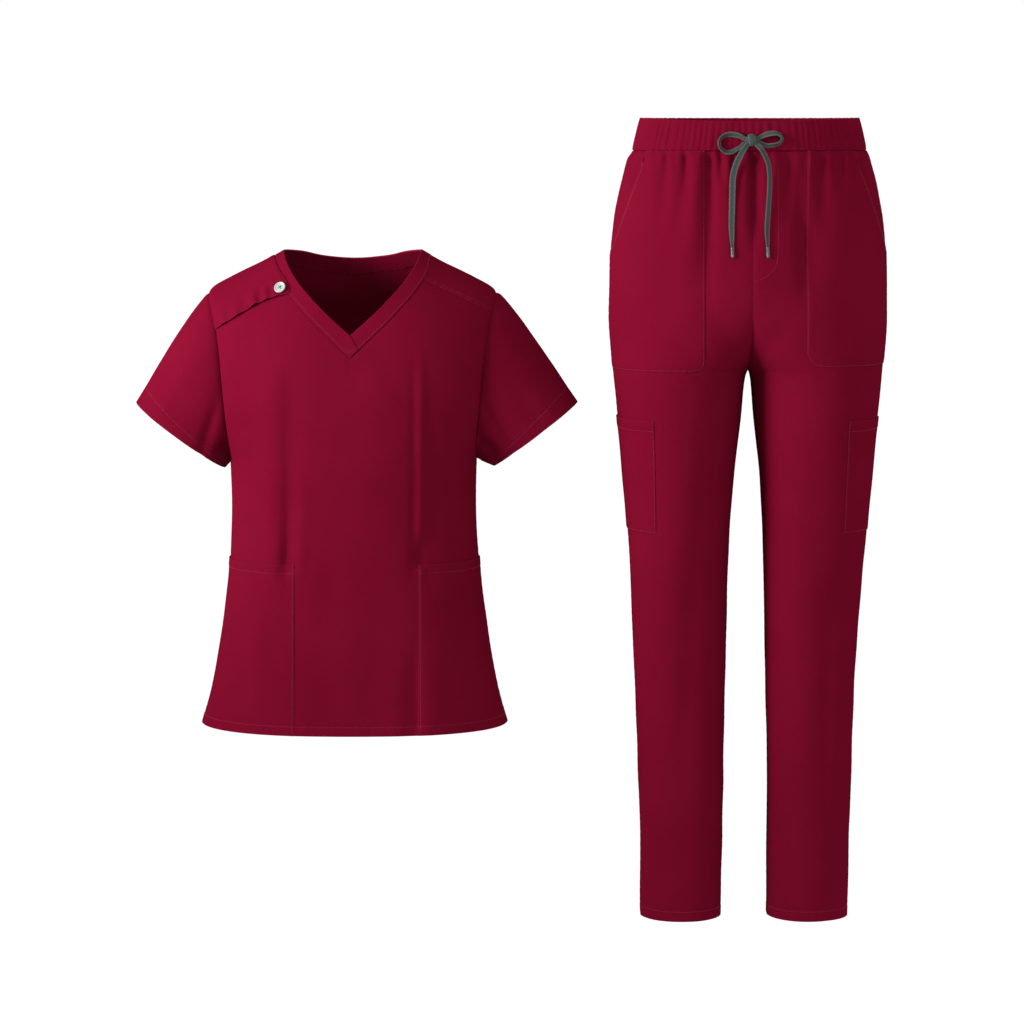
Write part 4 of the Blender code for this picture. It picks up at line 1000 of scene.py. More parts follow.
def tape(name, route):
    """A flat woven tape with a raised, rounded selvedge along both edges and a shallow middle."""
    line, along, across, through, half = tape_frames(route)
    rings, uvs, edge_highlight = [], [], []
    run = lengths_along(line)
    for angle in np.linspace(0, 2 * math.pi, TAPE_SIDES, endpoint=False):
        wide, thick = float(signed_power(math.cos(angle), 0.55)), float(signed_power(math.sin(angle), 0.55))
        edge = hump(abs(wide) - SELVEDGE, SELVEDGE_REACH)
        face = (0.62 + 0.38 * edge) * thick * TAPE_THICK / 2
        rings.append(line + across * (half * wide)[:, None] + through * face)
        uvs.append(np.stack([run, np.full_like(run, wide * TAPE_WIDTH / 2)], axis=-1))
        # The raised selvedge gets a painted highlight.
        edge_highlight.append(np.full_like(run, 0.9 * edge))
    made = capped_tube(name, np.array(rings).transpose(1, 0, 2), np.array(uvs).transpose(1, 0, 2), np.array(edge_highlight).T)
    made.data.materials.append(grey_tape)
    return made, line


def knot():
    """The knot: a tape wrapped about the crossing of the bow, over a rounded core."""
    behind = float(trouser_front_y(KNOT_X - TROUSERS_X, KNOT_Z))
    middle = np.array((KNOT_X, behind - TAPE_GAP - KNOT_SIZE[1], KNOT_Z))
    turns, rows = 72, 41
    rings, uvs, edge_highlight = [], [], []
    for i in range(rows):
        tip = math.pi * (i + 0.5) / rows
        ring, uv, edges = [], [], []
        for j in range(turns):
            angle = 2 * math.pi * j / turns
            x, y, z = math.cos(tip), math.sin(tip) * math.cos(angle), math.sin(tip) * math.sin(angle)
            off_wrap = abs(x + WRAP_LEAN * z)
            wrap = 0.5 + 0.5 * math.cos(min(math.pi, off_wrap / WRAP_HALF * math.pi))
            lip, groove = hump(off_wrap - 0.42, 0.07), hump(off_wrap - 0.56, 0.06)
            grow = 0.86 + 0.15 * wrap**0.35 - 0.05 * groove + 0.015 * lip
            grow += 0.018 * math.sin(9 * x + 5 * z + 1.0) * math.sin(tip)
            ring.append(middle + np.array((x, y, z)) * np.array(KNOT_SIZE) * grow)
            uv.append((x * KNOT_SIZE[0], angle * KNOT_SIZE[2]))
            # The knot's raised lip gets a painted highlight.
            edges.append(0.9 * lip)
        rings.append(ring)
        uvs.append(uv)
        edge_highlight.append(edges)
    made = capped_tube("knot", np.array(rings), np.array(uvs), np.array(edge_highlight))
    made.data.materials.append(grey_tape)
    return made


# Rows: share of the tip's length and of its radius.
AGLET_PROFILE = (
    *((0.0, 0.93), (0.03, 1.0), (0.10, 0.96), (0.13, 0.88), (0.16, 0.96), (0.30, 0.94)),
    *((0.33, 0.86), (0.36, 0.94), (0.60, 0.92), (0.86, 0.93), (0.95, 0.90), (0.99, 0.72)),
)


def aglet(name, end, down):
    """A wrapped tip: a slim round sleeve with two crimped grooves and a rounded end."""
    sides = 32
    down = np.array(down)
    flat = unit(np.cross((0, FRONT, 0), down))
    other = np.cross(down, flat)
    rings, uvs = [], []
    for share, radius in smooth_rows(AGLET_PROFILE, 3):
        angles = np.linspace(0, 2 * math.pi, sides, endpoint=False)
        ring = end + down * (TIP_GAP + share * AGLET_LENGTH)
        rings.append(ring + AGLET_RADIUS * radius * (np.outer(np.cos(angles), flat) + np.outer(np.sin(angles), other)))
        uvs.append(np.stack([np.full_like(angles, share * AGLET_LENGTH), angles * AGLET_RADIUS], axis=-1))
    made = capped_tube(name, np.array(rings), np.array(uvs), np.zeros((len(rings), sides)))
    made.data.materials.append(grey_tip)
    return made


def stand_for(made, node):
    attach(made, "root")
    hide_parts(node)


def make_drawstring():
    stand_for(knot(), "drawstring_knot")
    for half in (LEFT, RIGHT):
        name = SIDE_NAMES[half]
        loop, line = tape(f"bow_loop_{name}", LOOP_ROUTES[half])
        stand_for(loop, f"drawstring_loop_{name}")
        tail, line = tape(f"bow_tail_{name}", TAIL_ROUTES[half])
        stand_for(tail, f"drawstring_tail_{name}")
        tip = aglet(f"wrapped_tip_{name}", line[-1], unit(line[-1] - line[-4]))
        stand_for(tip, f"aglet_{name}")


make_drawstring()


# ---------------------------------------------------------------- the top

TOP_HEM = (TURNED, 0.0115)
ARMHOLE_EDGE = (SEWN, ARMHOLE_SINK)
POCKET_MOUTH_HEM = (TURNED, 0.0110)
SLEEVE_HEM = (TURNED, 0.0180)
TOP_POCKET_MOUTH = -0.390
TOP_POCKET_INNER = {LEFT: 0.071, RIGHT: 0.084}
FLAP_LOWER = ((-0.1647, -0.0940), (-0.1233, -0.0695), (-0.1001, -0.0584), (-0.0750, -0.0510))
FLAP_END = ((-0.0750, -0.0510), (-0.0800, -0.0350), (-0.0896, -0.0235), (-0.0985, -0.0065))
SEWN_INTO_BAND = 0.0009  # the panel's neck edge is held in the fold of the band


def half_of_neck(line):
    """A smooth neck line from the middle to one shoulder: level in the middle at the back, pointed at the front."""
    if line in (NECK_OUTER[BACK], NECK_INNER[BACK]):
        whole = smooth_rows(tuple((-x, z) for x, z in line[:0:-1]) + line, 12)
        return whole[len(whole) // 2 :]
    return smooth_rows(line, 12)


def shifted_line(line, shift):
    """A line in front view, moved out into the panel, with its ends kept on the middle and on the shoulder."""
    line = half_of_neck(line)
    steps = unit(np.gradient(line, axis=0))
    moved = line + shift * np.stack([steps[:, 1], -steps[:, 0]], axis=1)
    moved[0] = moved[1] + (moved[0] - moved[1]) * (moved[1, 0] / (moved[1, 0] - moved[0, 0]))
    moved[-1, 1] = shoulder_at(moved[-1, 0])
    return moved


def shoulder_line(x_from, x_to, count=60):
    x = np.linspace(x_from, x_to, count)
    return np.stack([x, shoulder_at(np.abs(x))], axis=1)


def mirrored(line):
    return line[::-1] * (-1, 1)


def join(*lines):
    parts = [lines[0]] + [line[1:] for line in lines[1:]]
    return np.concatenate(parts)


# Lengths by which grids of even steps are graded.
TOP_POCKET_WIDE, SLEEVE_LONG, LEG_WIDE, CARGO_WIDE, WAISTBAND_TALL = 0.135, 0.125, 0.23, 0.155, 0.0402
FLAP_LONG, FLAP_BUTTON, FLAP_PULL, FLAP_WAVE = 0.105, 0.056, 0.034, 0.0172  # along the flap's lower edge


def yoke_height(x):
    (x0, z0), (x1, z1) = YOKE_SEAM
    return z0 + (x - x0) * (z1 - z0) / (x1 - x0)


def neck_line(line, side, count):
    """Points of a neck edge, given from the shoulder to the middle, evenly spaced along the body."""
    dense = resampled(line, np.linspace(0, 1, 400))
    run = lengths_along(torso(torso_across(dense[:, 0], dense[:, 1], side), dense[:, 1], side))
    even = np.linspace(0, run[-1], count)
    return np.stack([np.interp(even, run, part) for part in dense.T], axis=1)


def panel_columns(shoulders, necks, side, rows):
    """Across and height of a panel's grid, each column running from the hem up to one point of its top edge.

    Columns under the neck spread evenly between it and the middle, at each height. Those beside it spread evenly from
    there to the side seam and armhole.
    """
    start, end = turned_steps(TOP_HEM[1]), SEWN_STEPS
    places, heights = [], []

    def add(top, ridge, across_at):
        short = max(0.0, (ridge - top) / (ridge - HEM))
        dense = ridge - (ridge - HEM) * np.linspace(1, short ** (1 / 3), 400) ** 3
        run = lengths_along(torso(across_at(dense), dense, side))
        height = np.interp(spread(run[-1], start, end, rows), run, dense)
        heights.append(height)
        places.append(across_at(height))

    for half in (LEFT, RIGHT):
        shoulder, neck = shoulders[half], necks[half]
        beside, under = range(len(shoulder)), range(1, len(neck))
        neck_x = neck[0, 0]
        shares = np.linspace(0, 1, len(neck))
        reach = (neck[1:, 0] - neck_x) / shares[1:]
        up_the_neck = neck[:0:-1, 1]

        def outwards(i):
            x, top = shoulder[i]
            near = torso_across(neck_x, top, side)
            share = 1.0 if i == 0 else (torso_across(x, top, side) - near) / (half - near)
            return lambda z: torso_across(neck_x, z, side) * (1 - share) + share * half

        def inwards(i):
            return lambda z: torso_across(neck_x + shares[i] * np.interp(z, up_the_neck, reach[::-1]), z, side)

        columns = [(*shoulder[i], outwards(i)) for i in beside] + [(*neck[i], inwards(i)) for i in under]
        if half == RIGHT:
            columns = columns[-2::-1]
        for x, top, across_at in columns:
            add(top, float(shoulder_at(abs(x))), across_at)
    return np.array(places).T, np.array(heights).T


def closed_seams(base, side):
    """Runs the edges of a front or back piece a little past the seams where front and back meet."""
    y = np.where(side * base[..., 1] < AT_SEAM, -side * SEAM_LAP, base[..., 1])
    return np.stack([base[..., 0], y, base[..., 2]], axis=-1)


def patch(bottom, top, left, right, columns, rows, to_across):
    """A grid between four edges given in front view, as across and height."""
    def on(line, shares):
        line = resampled(line, shares)
        return np.stack([to_across(line[:, 0], line[:, 1]), line[:, 1]], axis=-1)

    u, v = np.asarray(columns), np.asarray(rows)
    b, t, l, r = on(bottom, u), on(top, u), on(left, v), on(right, v)
    u, v = u[None, :, None], v[:, None, None]
    flat = (1 - v) * b[None] + v * t[None] + (1 - u) * l[:, None] + u * r[:, None]
    flat -= (1 - u) * (1 - v) * b[0] + u * (1 - v) * b[-1] + (1 - u) * v * t[0] + u * v * t[-1]
    return flat[..., 0], flat[..., 1]


def shares_of(length, start, end, count):
    return spread(length, start, end, count) / length


def graded(line, start, end, count):
    return shares_of(float(lengths_along(np.asarray(line, float))[-1]), start, end, count)


def sewn_sheet(made, node, material, name=None):
    piece = made["piece"]
    piece.data.materials.append(material)
    stand_for(piece, node)
    return made


stitch_lines = {"top": [], "trousers": []}


SECOND_ROW = 4  # grid rows from an edge's own stitches to a second row of them


def stitched(made, garment, where, further=0, share=(0, 1)):
    """Notes the line of a turned or topstitched edge, on the cloth's outer face."""
    edge = made["edges"][where]
    kind = edge[0] if isinstance(edge, tuple) else edge
    row = STITCH_ROW[kind] + further
    pick = {"bottom": np.s_[row], "top": np.s_[-1 - row], "left": np.s_[:, row], "right": np.s_[:, -1 - row]}[where]
    line, out = made["outer"][pick], made["normals"][pick]
    first, last = int(share[0] * (len(line) - 1)), int(share[1] * (len(line) - 1)) + 1
    stitch_lines[garment].append((line[first:last], out[first:last]))


neck_front = shifted_line(NECK_OUTER[FRONT], -SEWN_INTO_BAND)
neck_back = shifted_line(NECK_OUTER[BACK], -SEWN_INTO_BAND)
band_front = shifted_line(NECK_OUTER[FRONT], -BAND_SEAM_HALF)
band_back = shifted_line(NECK_OUTER[BACK], -BAND_SEAM_HALF)


def to_front(x, z):
    return torso_across(x, z, FRONT)


def to_back(x, z):
    return torso_across(x, z, BACK)


def body_piece(name, across, z, side, edges, raised=0.0, **more):
    """A piece of the front or back from its grid. The back's columns run from its own left, seen from behind."""
    base = closed_seams(torso(across, z, side), side)
    if side == BACK:
        base = base[:, ::-1]
    return cloth_piece(name, base, top_drape(base, side) + raised, edges, **more)


def shoulder_height(x):
    return float(shoulder_at(x))


def armhole_top(line_at, side):
    """x and height where a line, given as height for each x, meets the armhole."""
    height = where_side_meets(line_at, side)
    return float(half_width_at(height)), height


def make_top_front():
    shoulder_x, _ = armhole_top(shoulder_height, FRONT)
    yoke_x, _ = armhole_top(lambda x: yoke_height(x) + YOKE_TUCK, FRONT)
    neck = neck_front[::-1]
    below_yoke = neck[neck[:, 1] < yoke_height(neck[:, 0]) + YOKE_TUCK]
    shoulder = shoulder_line(-shoulder_x, -neck[0, 0])
    yoke = np.linspace(yoke_x, below_yoke[0, 0], 40)
    yoke = np.stack([yoke, yoke_height(yoke) + YOKE_TUCK], axis=1)
    below_yoke[0] = yoke[-1]
    shoulders = {LEFT: resampled(shoulder, graded(shoulder, SEWN_STEPS, RAW_STEPS, 42))}
    shoulders[RIGHT] = resampled(yoke, graded(yoke, SEWN_STEPS, RAW_STEPS, 44))
    necks = {LEFT: neck_line(neck * (-1, 1), FRONT, 66), RIGHT: neck_line(below_yoke, FRONT, 48)}
    across, z = panel_columns(shoulders, necks, FRONT, 214)
    edges = {"bottom": TOP_HEM, "top": SEWN, "left": ARMHOLE_EDGE, "right": ARMHOLE_EDGE}
    made = body_piece("front_panel", across, z, FRONT, edges)
    stitched(made, "top", "bottom")
    return sewn_sheet(made, "top_front", wine_cloth)


def make_top_back():
    shoulder_x, _ = armhole_top(shoulder_height, BACK)
    neck = neck_back[::-1]
    shoulders, necks = {}, {}
    for half in (LEFT, RIGHT):
        shoulder = shoulder_line(-shoulder_x, -neck[0, 0]) * (-half, 1)
        shoulders[half] = resampled(shoulder, graded(shoulder, SEWN_STEPS, RAW_STEPS, 44))
        necks[half] = neck_line(neck * (half, 1), BACK, 48)
    across, z = panel_columns(shoulders, necks, BACK, 200)
    edges = {"bottom": TOP_HEM, "top": SEWN, "left": ARMHOLE_EDGE, "right": ARMHOLE_EDGE}
    base = torso(across, z, BACK)
    down = lengths_along(base, 0)
    down = down[-1:] - down
    under_flap = smooth_step(-0.096, -0.104, base[-1:, :, 0])
    raised = SEAM_SINK * hump(down, SEAM_REACH, SEAM_CURVE) * under_flap
    made = body_piece("back_panel", across, z, BACK, edges, raised[:, ::-1])
    stitched(made, "top", "bottom")
    return sewn_sheet(made, "top_back", wine_cloth)


def make_yoke():
    shoulder_end = where_side_meets(shoulder_height, FRONT)
    seam_end = where_side_meets(lambda x: yoke_height(x) + YOKE_CUT, FRONT)
    crossing = int(np.argmax(neck_front[:, 1] > yoke_height(neck_front[:, 0]) + YOKE_CUT))
    left = neck_front[crossing:]
    heights = np.linspace(seam_end, shoulder_end, 30)
    right = np.stack([half_width_at(heights), heights], axis=1)
    seam_x = np.linspace(left[0, 0], right[0, 0], 40)
    bottom = np.stack([seam_x, yoke_height(seam_x) + YOKE_CUT], axis=1)
    top = shoulder_line(left[-1, 0], right[-1, 0])
    columns = graded(bottom, RAW_STEPS, SEWN_STEPS, 60)
    rows = 1 - (1 - graded(right, TOPSTITCH_STEPS, RAW_STEPS, 40)) ** 1.6
    across, z = patch(bottom, top, left, right, columns, rows, to_front)
    edges = {"bottom": TOPSTITCHED, "top": RAW, "left": RAW, "right": ARMHOLE_EDGE}
    made = body_piece("right_shoulder_yoke", across, z, FRONT, edges)
    stitched(made, "top", "bottom")
    return sewn_sheet(made, "top_yoke_right", wine_cloth)


def make_flap():
    """The flap's lower edge is free, so it waves a little and puckers towards its button."""
    shoulder_end = where_side_meets(shoulder_height, FRONT)
    (x0, z0), (x1, z1) = FLAP_LOWER[:2]
    start_z = where_side_meets(lambda x: z0 - (x - abs(x0)) * (z1 - z0) / (x1 - x0), FRONT)
    start = (-float(half_width_at(start_z)), start_z)
    bottom = smooth_rows((start,) + FLAP_LOWER, 10)
    right = smooth_rows(FLAP_END, 10)
    heights = np.linspace(start_z, shoulder_end, 30)
    left = np.stack([-half_width_at(heights), heights], axis=1)
    top = shoulder_line(left[-1, 0], right[-1, 0])
    columns = graded(bottom, SEWN_STEPS, TOPSTITCH_STEPS, 110)
    rows = 1 - (1 - graded(left, TOPSTITCH_STEPS, RAW_STEPS, 56)) ** 1.35
    across, z = patch(bottom, top, left, right, columns, rows, to_front)
    run = np.linspace(0, 1, z.shape[1])[None, :] * FLAP_LONG
    up = lengths_along(torso(across, z, FRONT), 0)
    near_button = hump(run - FLAP_BUTTON, FLAP_PULL)
    waves = 0.5 + 0.5 * np.sin(run * 2 * math.pi / FLAP_WAVE + 1.9 * np.sin(run * 71) + 0.6)
    free = np.exp(-up / 0.010) * smooth_step(0.0, 0.012, run) * smooth_step(FLAP_LONG, 0.092, run)
    lifted = free * (0.0010 + waves * (0.0010 + 0.0016 * near_button))
    tucks = 0.0017 * waves * near_button * hump(up - 0.010, 0.008) * smooth_step(FLAP_LONG, 0.090, run)
    down = up[-1:] - up
    dip = FLAP_DIP * hump(down, 0.009) + SEAM_SINK * hump(down, SEAM_REACH, SEAM_CURVE)
    edges = {"bottom": TOPSTITCHED, "top": RAW, "left": ARMHOLE_EDGE, "right": TOPSTITCHED}
    made = body_piece("button_flap", across, z, FRONT, edges, lifted + tucks - dip, lift=FLAP_LIFT)
    return sewn_sheet(made, "shoulder_flap", wine_cloth)


def make_neckband(name, node, outer, inner, side, corner=None, lap=0.0, lap_end=None):
    """A folded band between two lines. A corner of its outer line is kept, and its lapping end lies higher."""
    columns = graded(outer, RAW_STEPS, RAW_STEPS, 120)
    if corner is not None:
        bend = lengths_along(outer)[corner] / lengths_along(outer)[-1]
        columns[np.argmin(np.abs(columns - bend))] = bend
    rows = graded(np.array([outer[0], inner[0]]), (0, 0.0006, 0.0014, 0.0022, 0.0036), (0, 0.0006, 0.0014), 16)
    left, right = (
        np.array([outer[i], inner[i]]) if i == lap_end else shoulder_line(outer[i, 0], inner[i, 0]) for i in (0, -1)
    )
    to_across = to_front if side == FRONT else to_back
    across, z = patch(outer, inner, left, right, columns, rows, to_across)
    higher = lap * hump(1 - columns, 0.07)[None, :] * np.ones_like(z)
    edges = {"bottom": RAW, "top": RAW, "left": RAW, "right": RAW}
    made = body_piece(name, across, z, side, edges, higher, wall=BAND_CLOTH)
    return sewn_sheet(made, node, wine_cloth)


def make_neckbands():
    """The left band runs on past the middle, over the foot of the right one, as far as that one's outer line."""
    inner = smooth_rows(NECK_INNER[FRONT], 12)
    foot = (BAND_LAP, np.interp(BAND_LAP, band_front[:, 0], band_front[:, 1]))
    lapping = np.concatenate([band_front[band_front[:, 0] < BAND_LAP], [foot]])
    outer = join(mirrored(band_front), lapping)
    corner = len(band_front) - 1
    made = make_neckband("neckband_front_left", "neckband_left", outer, mirrored(inner), FRONT, corner, BAND_RISE, -1)
    stitched_band(made)
    foot_x = BAND_LAP + 2 * BAND_SEAM_HALF
    foot = (foot_x, np.interp(foot_x, band_front[:, 0], band_front[:, 1]))
    right_outer = np.concatenate([[foot], band_front[band_front[:, 0] > foot_x]])
    right_inner = inner + (BAND_SEAM_HALF, BAND_SEAM_HALF)
    right_inner[-1] = inner[-1]
    made = make_neckband("neckband_front_right", "neckband_right", right_outer, right_inner, FRONT, lap_end=0)
    stitched_band(made)
    outer, inner = (join(mirrored(line), line) for line in (band_back, half_of_neck(NECK_INNER[BACK])))
    make_neckband("neckband_round_back", "neckband_back", outer, inner, BACK)


def stitched_band(made):
    """A row of topstitching along the band's outer edge."""
    stitch_lines["top"].append((made["outer"][3], made["normals"][3]))


def make_top_pocket(half):
    """A patch pocket from its inner edge to the side seam and from its hemmed mouth to the garment's hem."""
    share = shares_of(TOP_POCKET_WIDE, TOPSTITCH_STEPS, SEWN_STEPS, 64)
    tall = TOP_POCKET_MOUTH - HEM
    heights = HEM + shares_of(tall, turned_steps(TOP_HEM[1]), turned_steps(POCKET_MOUTH_HEM[1]), 96) * tall
    z = np.repeat(heights[:, None], len(share), axis=1)
    inner = torso_across(TOP_POCKET_INNER[half], z, FRONT)
    across = inner + share[None, :] * (1 - inner)
    if half == LEFT:
        across = -across[:, ::-1]
    sides = ("left", "right") if half == RIGHT else ("right", "left")
    edges = {"bottom": TOP_HEM, "top": POCKET_MOUTH_HEM, sides[0]: TOPSTITCHED, sides[1]: SEWN}
    made = body_piece(f"hip_pocket_{SIDE_NAMES[half]}", across, z, FRONT, edges, wall=PATCH_CLOTH, lift=PATCH_LIFT)
    stitched(made, "top", "top")
    stitched(made, "top", "bottom")
    stitched(made, "top", sides[0])
    return sewn_sheet(made, f"top_pocket_{SIDE_NAMES[half]}", wine_cloth)


SLEEVES = {
    LEFT: ((-0.2768, -0.1933), (-0.1660, -0.2753)),
    RIGHT: ((0.2845, -0.1933), (0.1785, -0.2740)),
}
SLEEVE_DEPTH = 0.056
SLEEVE_BULGE = 0.004
ARMHOLE_SEAM = (0.0006, 0.0012)
BESIDE_ARMHOLE = 0.985  # a place a little inside the armhole, as a share of the way across
ALLOWANCE_DEPTH = TUCK_DEPTH + 0.0014
ALLOWANCE_ROWS = (0.0060, 0.0040, 0.0022, 0.0008)


def armhole(side, half, count):
    """The armhole's edge of the front or back, evenly spaced from the shoulder down to the underarm."""
    top = where_side_meets(shoulder_height, side)
    dense = top - (top - UNDERARM) * np.linspace(0, 1, 600) ** 2
    edge = torso(np.full_like(dense, float(half)), dense, side)
    return resampled(edge, np.linspace(0, 1, count))


def armhole_inward(side, half, edge):
    """From the armhole's edge into the panel, and out of the panel's face."""
    within = torso(half * BESIDE_ARMHOLE, edge[:, 2], side)
    inward = unit(within - edge)
    outward = np.cross(np.gradient(edge, axis=0), inward)
    return inward, unit(outward) * np.sign((outward * (edge * (1, 1, 0))).sum())


def make_sleeve(half):
    """A tube from the armhole to the turned hem. Its seam allowance lies inside the body panels."""
    count = 104
    front, back = armhole(FRONT, half, count), armhole(BACK, half, count)
    (front_in, front_out), (back_in, back_out) = armhole_inward(FRONT, half, front), armhole_inward(BACK, half, back)
    inward, outwards = np.concatenate([front_in, back_in[-2:0:-1]]), np.concatenate([front_out, back_out[-2:0:-1]])
    for i, other in ((0, 0), (count - 1, -1)):
        inward[i] = unit(front_in[other] + back_in[other])
        outwards[i] = unit(front_out[other] + back_out[other])
    shared = (front[0] + back[0]) / 2
    ring = np.concatenate([front, back[-2:0:-1]])
    ring[0] = (shared[0], 0, shared[2])
    ring[count - 1, 1] = 0
    angles = np.linspace(0, 2 * math.pi, len(ring), endpoint=False)
    outer, inner = (np.array((x, 0, z)) for x, z in SLEEVES[half])
    across_opening = np.outer(np.cos(angles), (outer - inner) / 2) - np.outer(np.sin(angles), (0, SLEEVE_DEPTH, 0))
    opening = (outer + inner) / 2 + across_opening
    reach = np.linalg.norm(opening - ring, axis=1)
    outward = np.outer(np.cos(angles), unit(outer - inner)) - np.outer(np.sin(angles), (0, 1, 0))
    low = (1 - np.cos(angles)) / 2
    start = (ARMHOLE_SEAM[0] + (ARMHOLE_SEAM[1] - ARMHOLE_SEAM[0]) * low) / reach
    rows = shares_of(SLEEVE_LONG, SEWN_STEPS, turned_steps(SLEEVE_HEM[1]), 66)
    t = rows[:, None]
    share = start[None] + (1 - start[None]) * t
    bulge = SLEEVE_BULGE * np.sin(math.pi * t**0.7) * np.minimum(1, reach / 0.1)[None]
    base = ring[None] * (1 - share[..., None]) + opening[None] * share[..., None] + outward[None] * bulge[..., None]
    down_seam = lengths_along(base, 0)
    base -= outwards[None] * (ARMHOLE_SINK * hump(down_seam, SEAM_REACH, SEAM_CURVE))[..., None]
    allowance = [ring + inward * reach_in - outwards * ALLOWANCE_DEPTH for reach_in in ALLOWANCE_ROWS]
    base = np.concatenate([allowance, base])
    t = np.concatenate([[[-0.02]] * len(allowance), t])
    share = np.concatenate([share[:1]] * len(allowance) + [share])
    round_share = np.broadcast_to(angles / (2 * math.pi), share.shape)
    creases = creased(SLEEVE_CREASES[half], round_share, np.broadcast_to(t, share.shape) * 1.0)
    outer_face = grid_normals(base, True)
    middle = base.mean(axis=1, keepdims=True)
    if (outer_face * (base - middle)).sum() < 0:
        base, creases = base[:, ::-1], creases[:, ::-1]
    drape = sag(base) * TOP_SAG - creases * smooth_step(-0.01, 0.10, t)
    edges = {"bottom": RAW, "top": SLEEVE_HEM}
    made = cloth_piece(f"sleeve_{SIDE_NAMES[half]}", base, drape, edges, closed=True)
    stitched(made, "top", "top")
    return sewn_sheet(made, f"top_sleeve_{SIDE_NAMES[half]}", wine_cloth)


make_top_front()
make_top_back()
make_yoke()
make_flap()
make_neckbands()
for half in (LEFT, RIGHT):
    make_sleeve(half)
    make_top_pocket(half)


# ---------------------------------------------------------------- the button

BUTTON_X, BUTTON_Z = -0.0868, -0.0462
BUTTON_RADIUS, BUTTON_THICK = 0.0075, 0.0028
BUTTON_GAP = 0.0012
BUTTON_HOLE, BUTTON_HOLES_APART = 0.00085, 0.0029
BUTTON_FACETS, HOLE_FACETS, STRAND_FACETS = 72, 20, 8
# Rows: share of the button's radius and of its thickness, from the back round the rim to the dished front.
BUTTON_PROFILE = (
    *((0.55, 0.0), (0.80, 0.10), (0.95, 0.30), (1.00, 0.55), (0.985, 0.80), (0.94, 0.95)),
    *((0.87, 1.00), (0.80, 0.97), (0.73, 0.84), (0.66, 0.76), (0.45, 0.73), (0.20, 0.72)),
)
STRAND_RADIUS, STRANDS_APART = 0.00026, 0.00022


def front_slope(x, z, lift):
    """Place and outward direction on the top's front, over its creases."""
    step = 0.002

    def at(x, z):
        return torso(float(to_front(x, z)), z, FRONT)

    centre = at(x, z)
    outward = unit(np.cross(at(x + step, z) - at(x - step, z), at(x, z + step) - at(x, z - step)))
    return centre + outward * lift, outward


def make_button():
    """A turned button, dished inside its rim, with four holes and a cross of thread."""
    at, outward = front_slope(BUTTON_X, BUTTON_Z, FLAP_LIFT + CLOTH / 2 + BUTTON_GAP)
    work = bmesh.new()
    turns = [2 * math.pi * j / BUTTON_FACETS for j in range(BUTTON_FACETS)]
    rings = []
    for radius, height in smooth_rows(BUTTON_PROFILE, 3):
        reach = radius * BUTTON_RADIUS
        rings.append([(reach * math.cos(t), reach * math.sin(t), height * BUTTON_THICK) for t in turns])
    add_skin(work, rings)
    blank = mesh_from(work, "button_blank")
    drill = bmesh.new()
    spots = [(dx * BUTTON_HOLES_APART / 2, dy * BUTTON_HOLES_APART / 2) for dx in (-1, 1) for dy in (-1, 1)]
    for x, y in spots:
        where = Matrix.Translation((x, y, BUTTON_THICK / 2))
        size = dict(radius1=BUTTON_HOLE, radius2=BUTTON_HOLE, depth=2 * BUTTON_THICK)
        bmesh.ops.create_cone(drill, cap_ends=True, segments=HOLE_FACETS, matrix=where, **size)
    holes = mesh_from(drill, "button_holes")
    cut = blank.modifiers.new("holes", "BOOLEAN")
    cut.operation, cut.object, cut.solver = "DIFFERENCE", holes, "EXACT"
    turn = Vector(outward).to_track_quat("Z", "Y").to_matrix().to_4x4()
    placed = Matrix.Translation(Vector(at)) @ turn
    button = made_plain(blank, "white_button", placed)
    bpy.data.objects.remove(holes, do_unlink=True)
    button.data.shade_smooth()
    button.data.set_sharp_from_angle(angle=math.radians(46))
    button.data.materials.clear()
    button.data.materials.append(button_white)
    stand_for(button, "shoulder_button")
    thread = bmesh.new()
    for sign in (-1, 1):
        line = np.linspace(-1, 1, 13)
        half = BUTTON_HOLES_APART / 2
        height = BUTTON_THICK * (0.80 + 0.16 * (1 - line**2)) - 0.0006 * line**8
        for aside in (-STRANDS_APART * 0.7, STRANDS_APART * 0.7):
            path = np.stack([line * half - sign * aside, sign * line * half + aside, height], axis=1)
            add_strand(thread, path)
    strands = mesh_from(thread, "thread_blank")
    cross = made_plain(strands, "button_thread_cross", placed)
    cross.data.shade_smooth()
    cross.data.materials.append(button_thread)
    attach(cross, "root")


def add_strand(work, path):
    """A round strand of thread along a path."""
    along = unit(np.gradient(path, axis=0))
    first = unit(np.cross(along, (0, 0, 1.0)))
    second = np.cross(along, first)
    turns = [2 * math.pi * j / STRAND_FACETS for j in range(STRAND_FACETS)]
    around = [[STRAND_RADIUS * (math.cos(t) * a + math.sin(t) * b) for t in turns] for a, b in zip(first, second)]
    add_skin(work, [[point + step for step in steps] for point, steps in zip(path, around)])


def add_skin(work, rings):
    """A closed skin over rings of points, flat at its ends."""
    rings = [[work.verts.new(point) for point in ring] for ring in rings]
    sides = len(rings[0])
    for lower, upper in zip(rings, rings[1:]):
        for j in range(sides):
            k = (j + 1) % sides
            work.faces.new((lower[j], lower[k], upper[k], upper[j]))
    work.faces.new(rings[0][::-1])
    work.faces.new(rings[-1])
    bmesh.ops.recalc_face_normals(work, faces=work.faces)


def mesh_from(work, name):
    mesh = bpy.data.meshes.new(name)
    work.to_mesh(mesh)
    work.free()
    made = bpy.data.objects.new(name, mesh)
    bpy.context.scene.collection.objects.link(made)
    return made


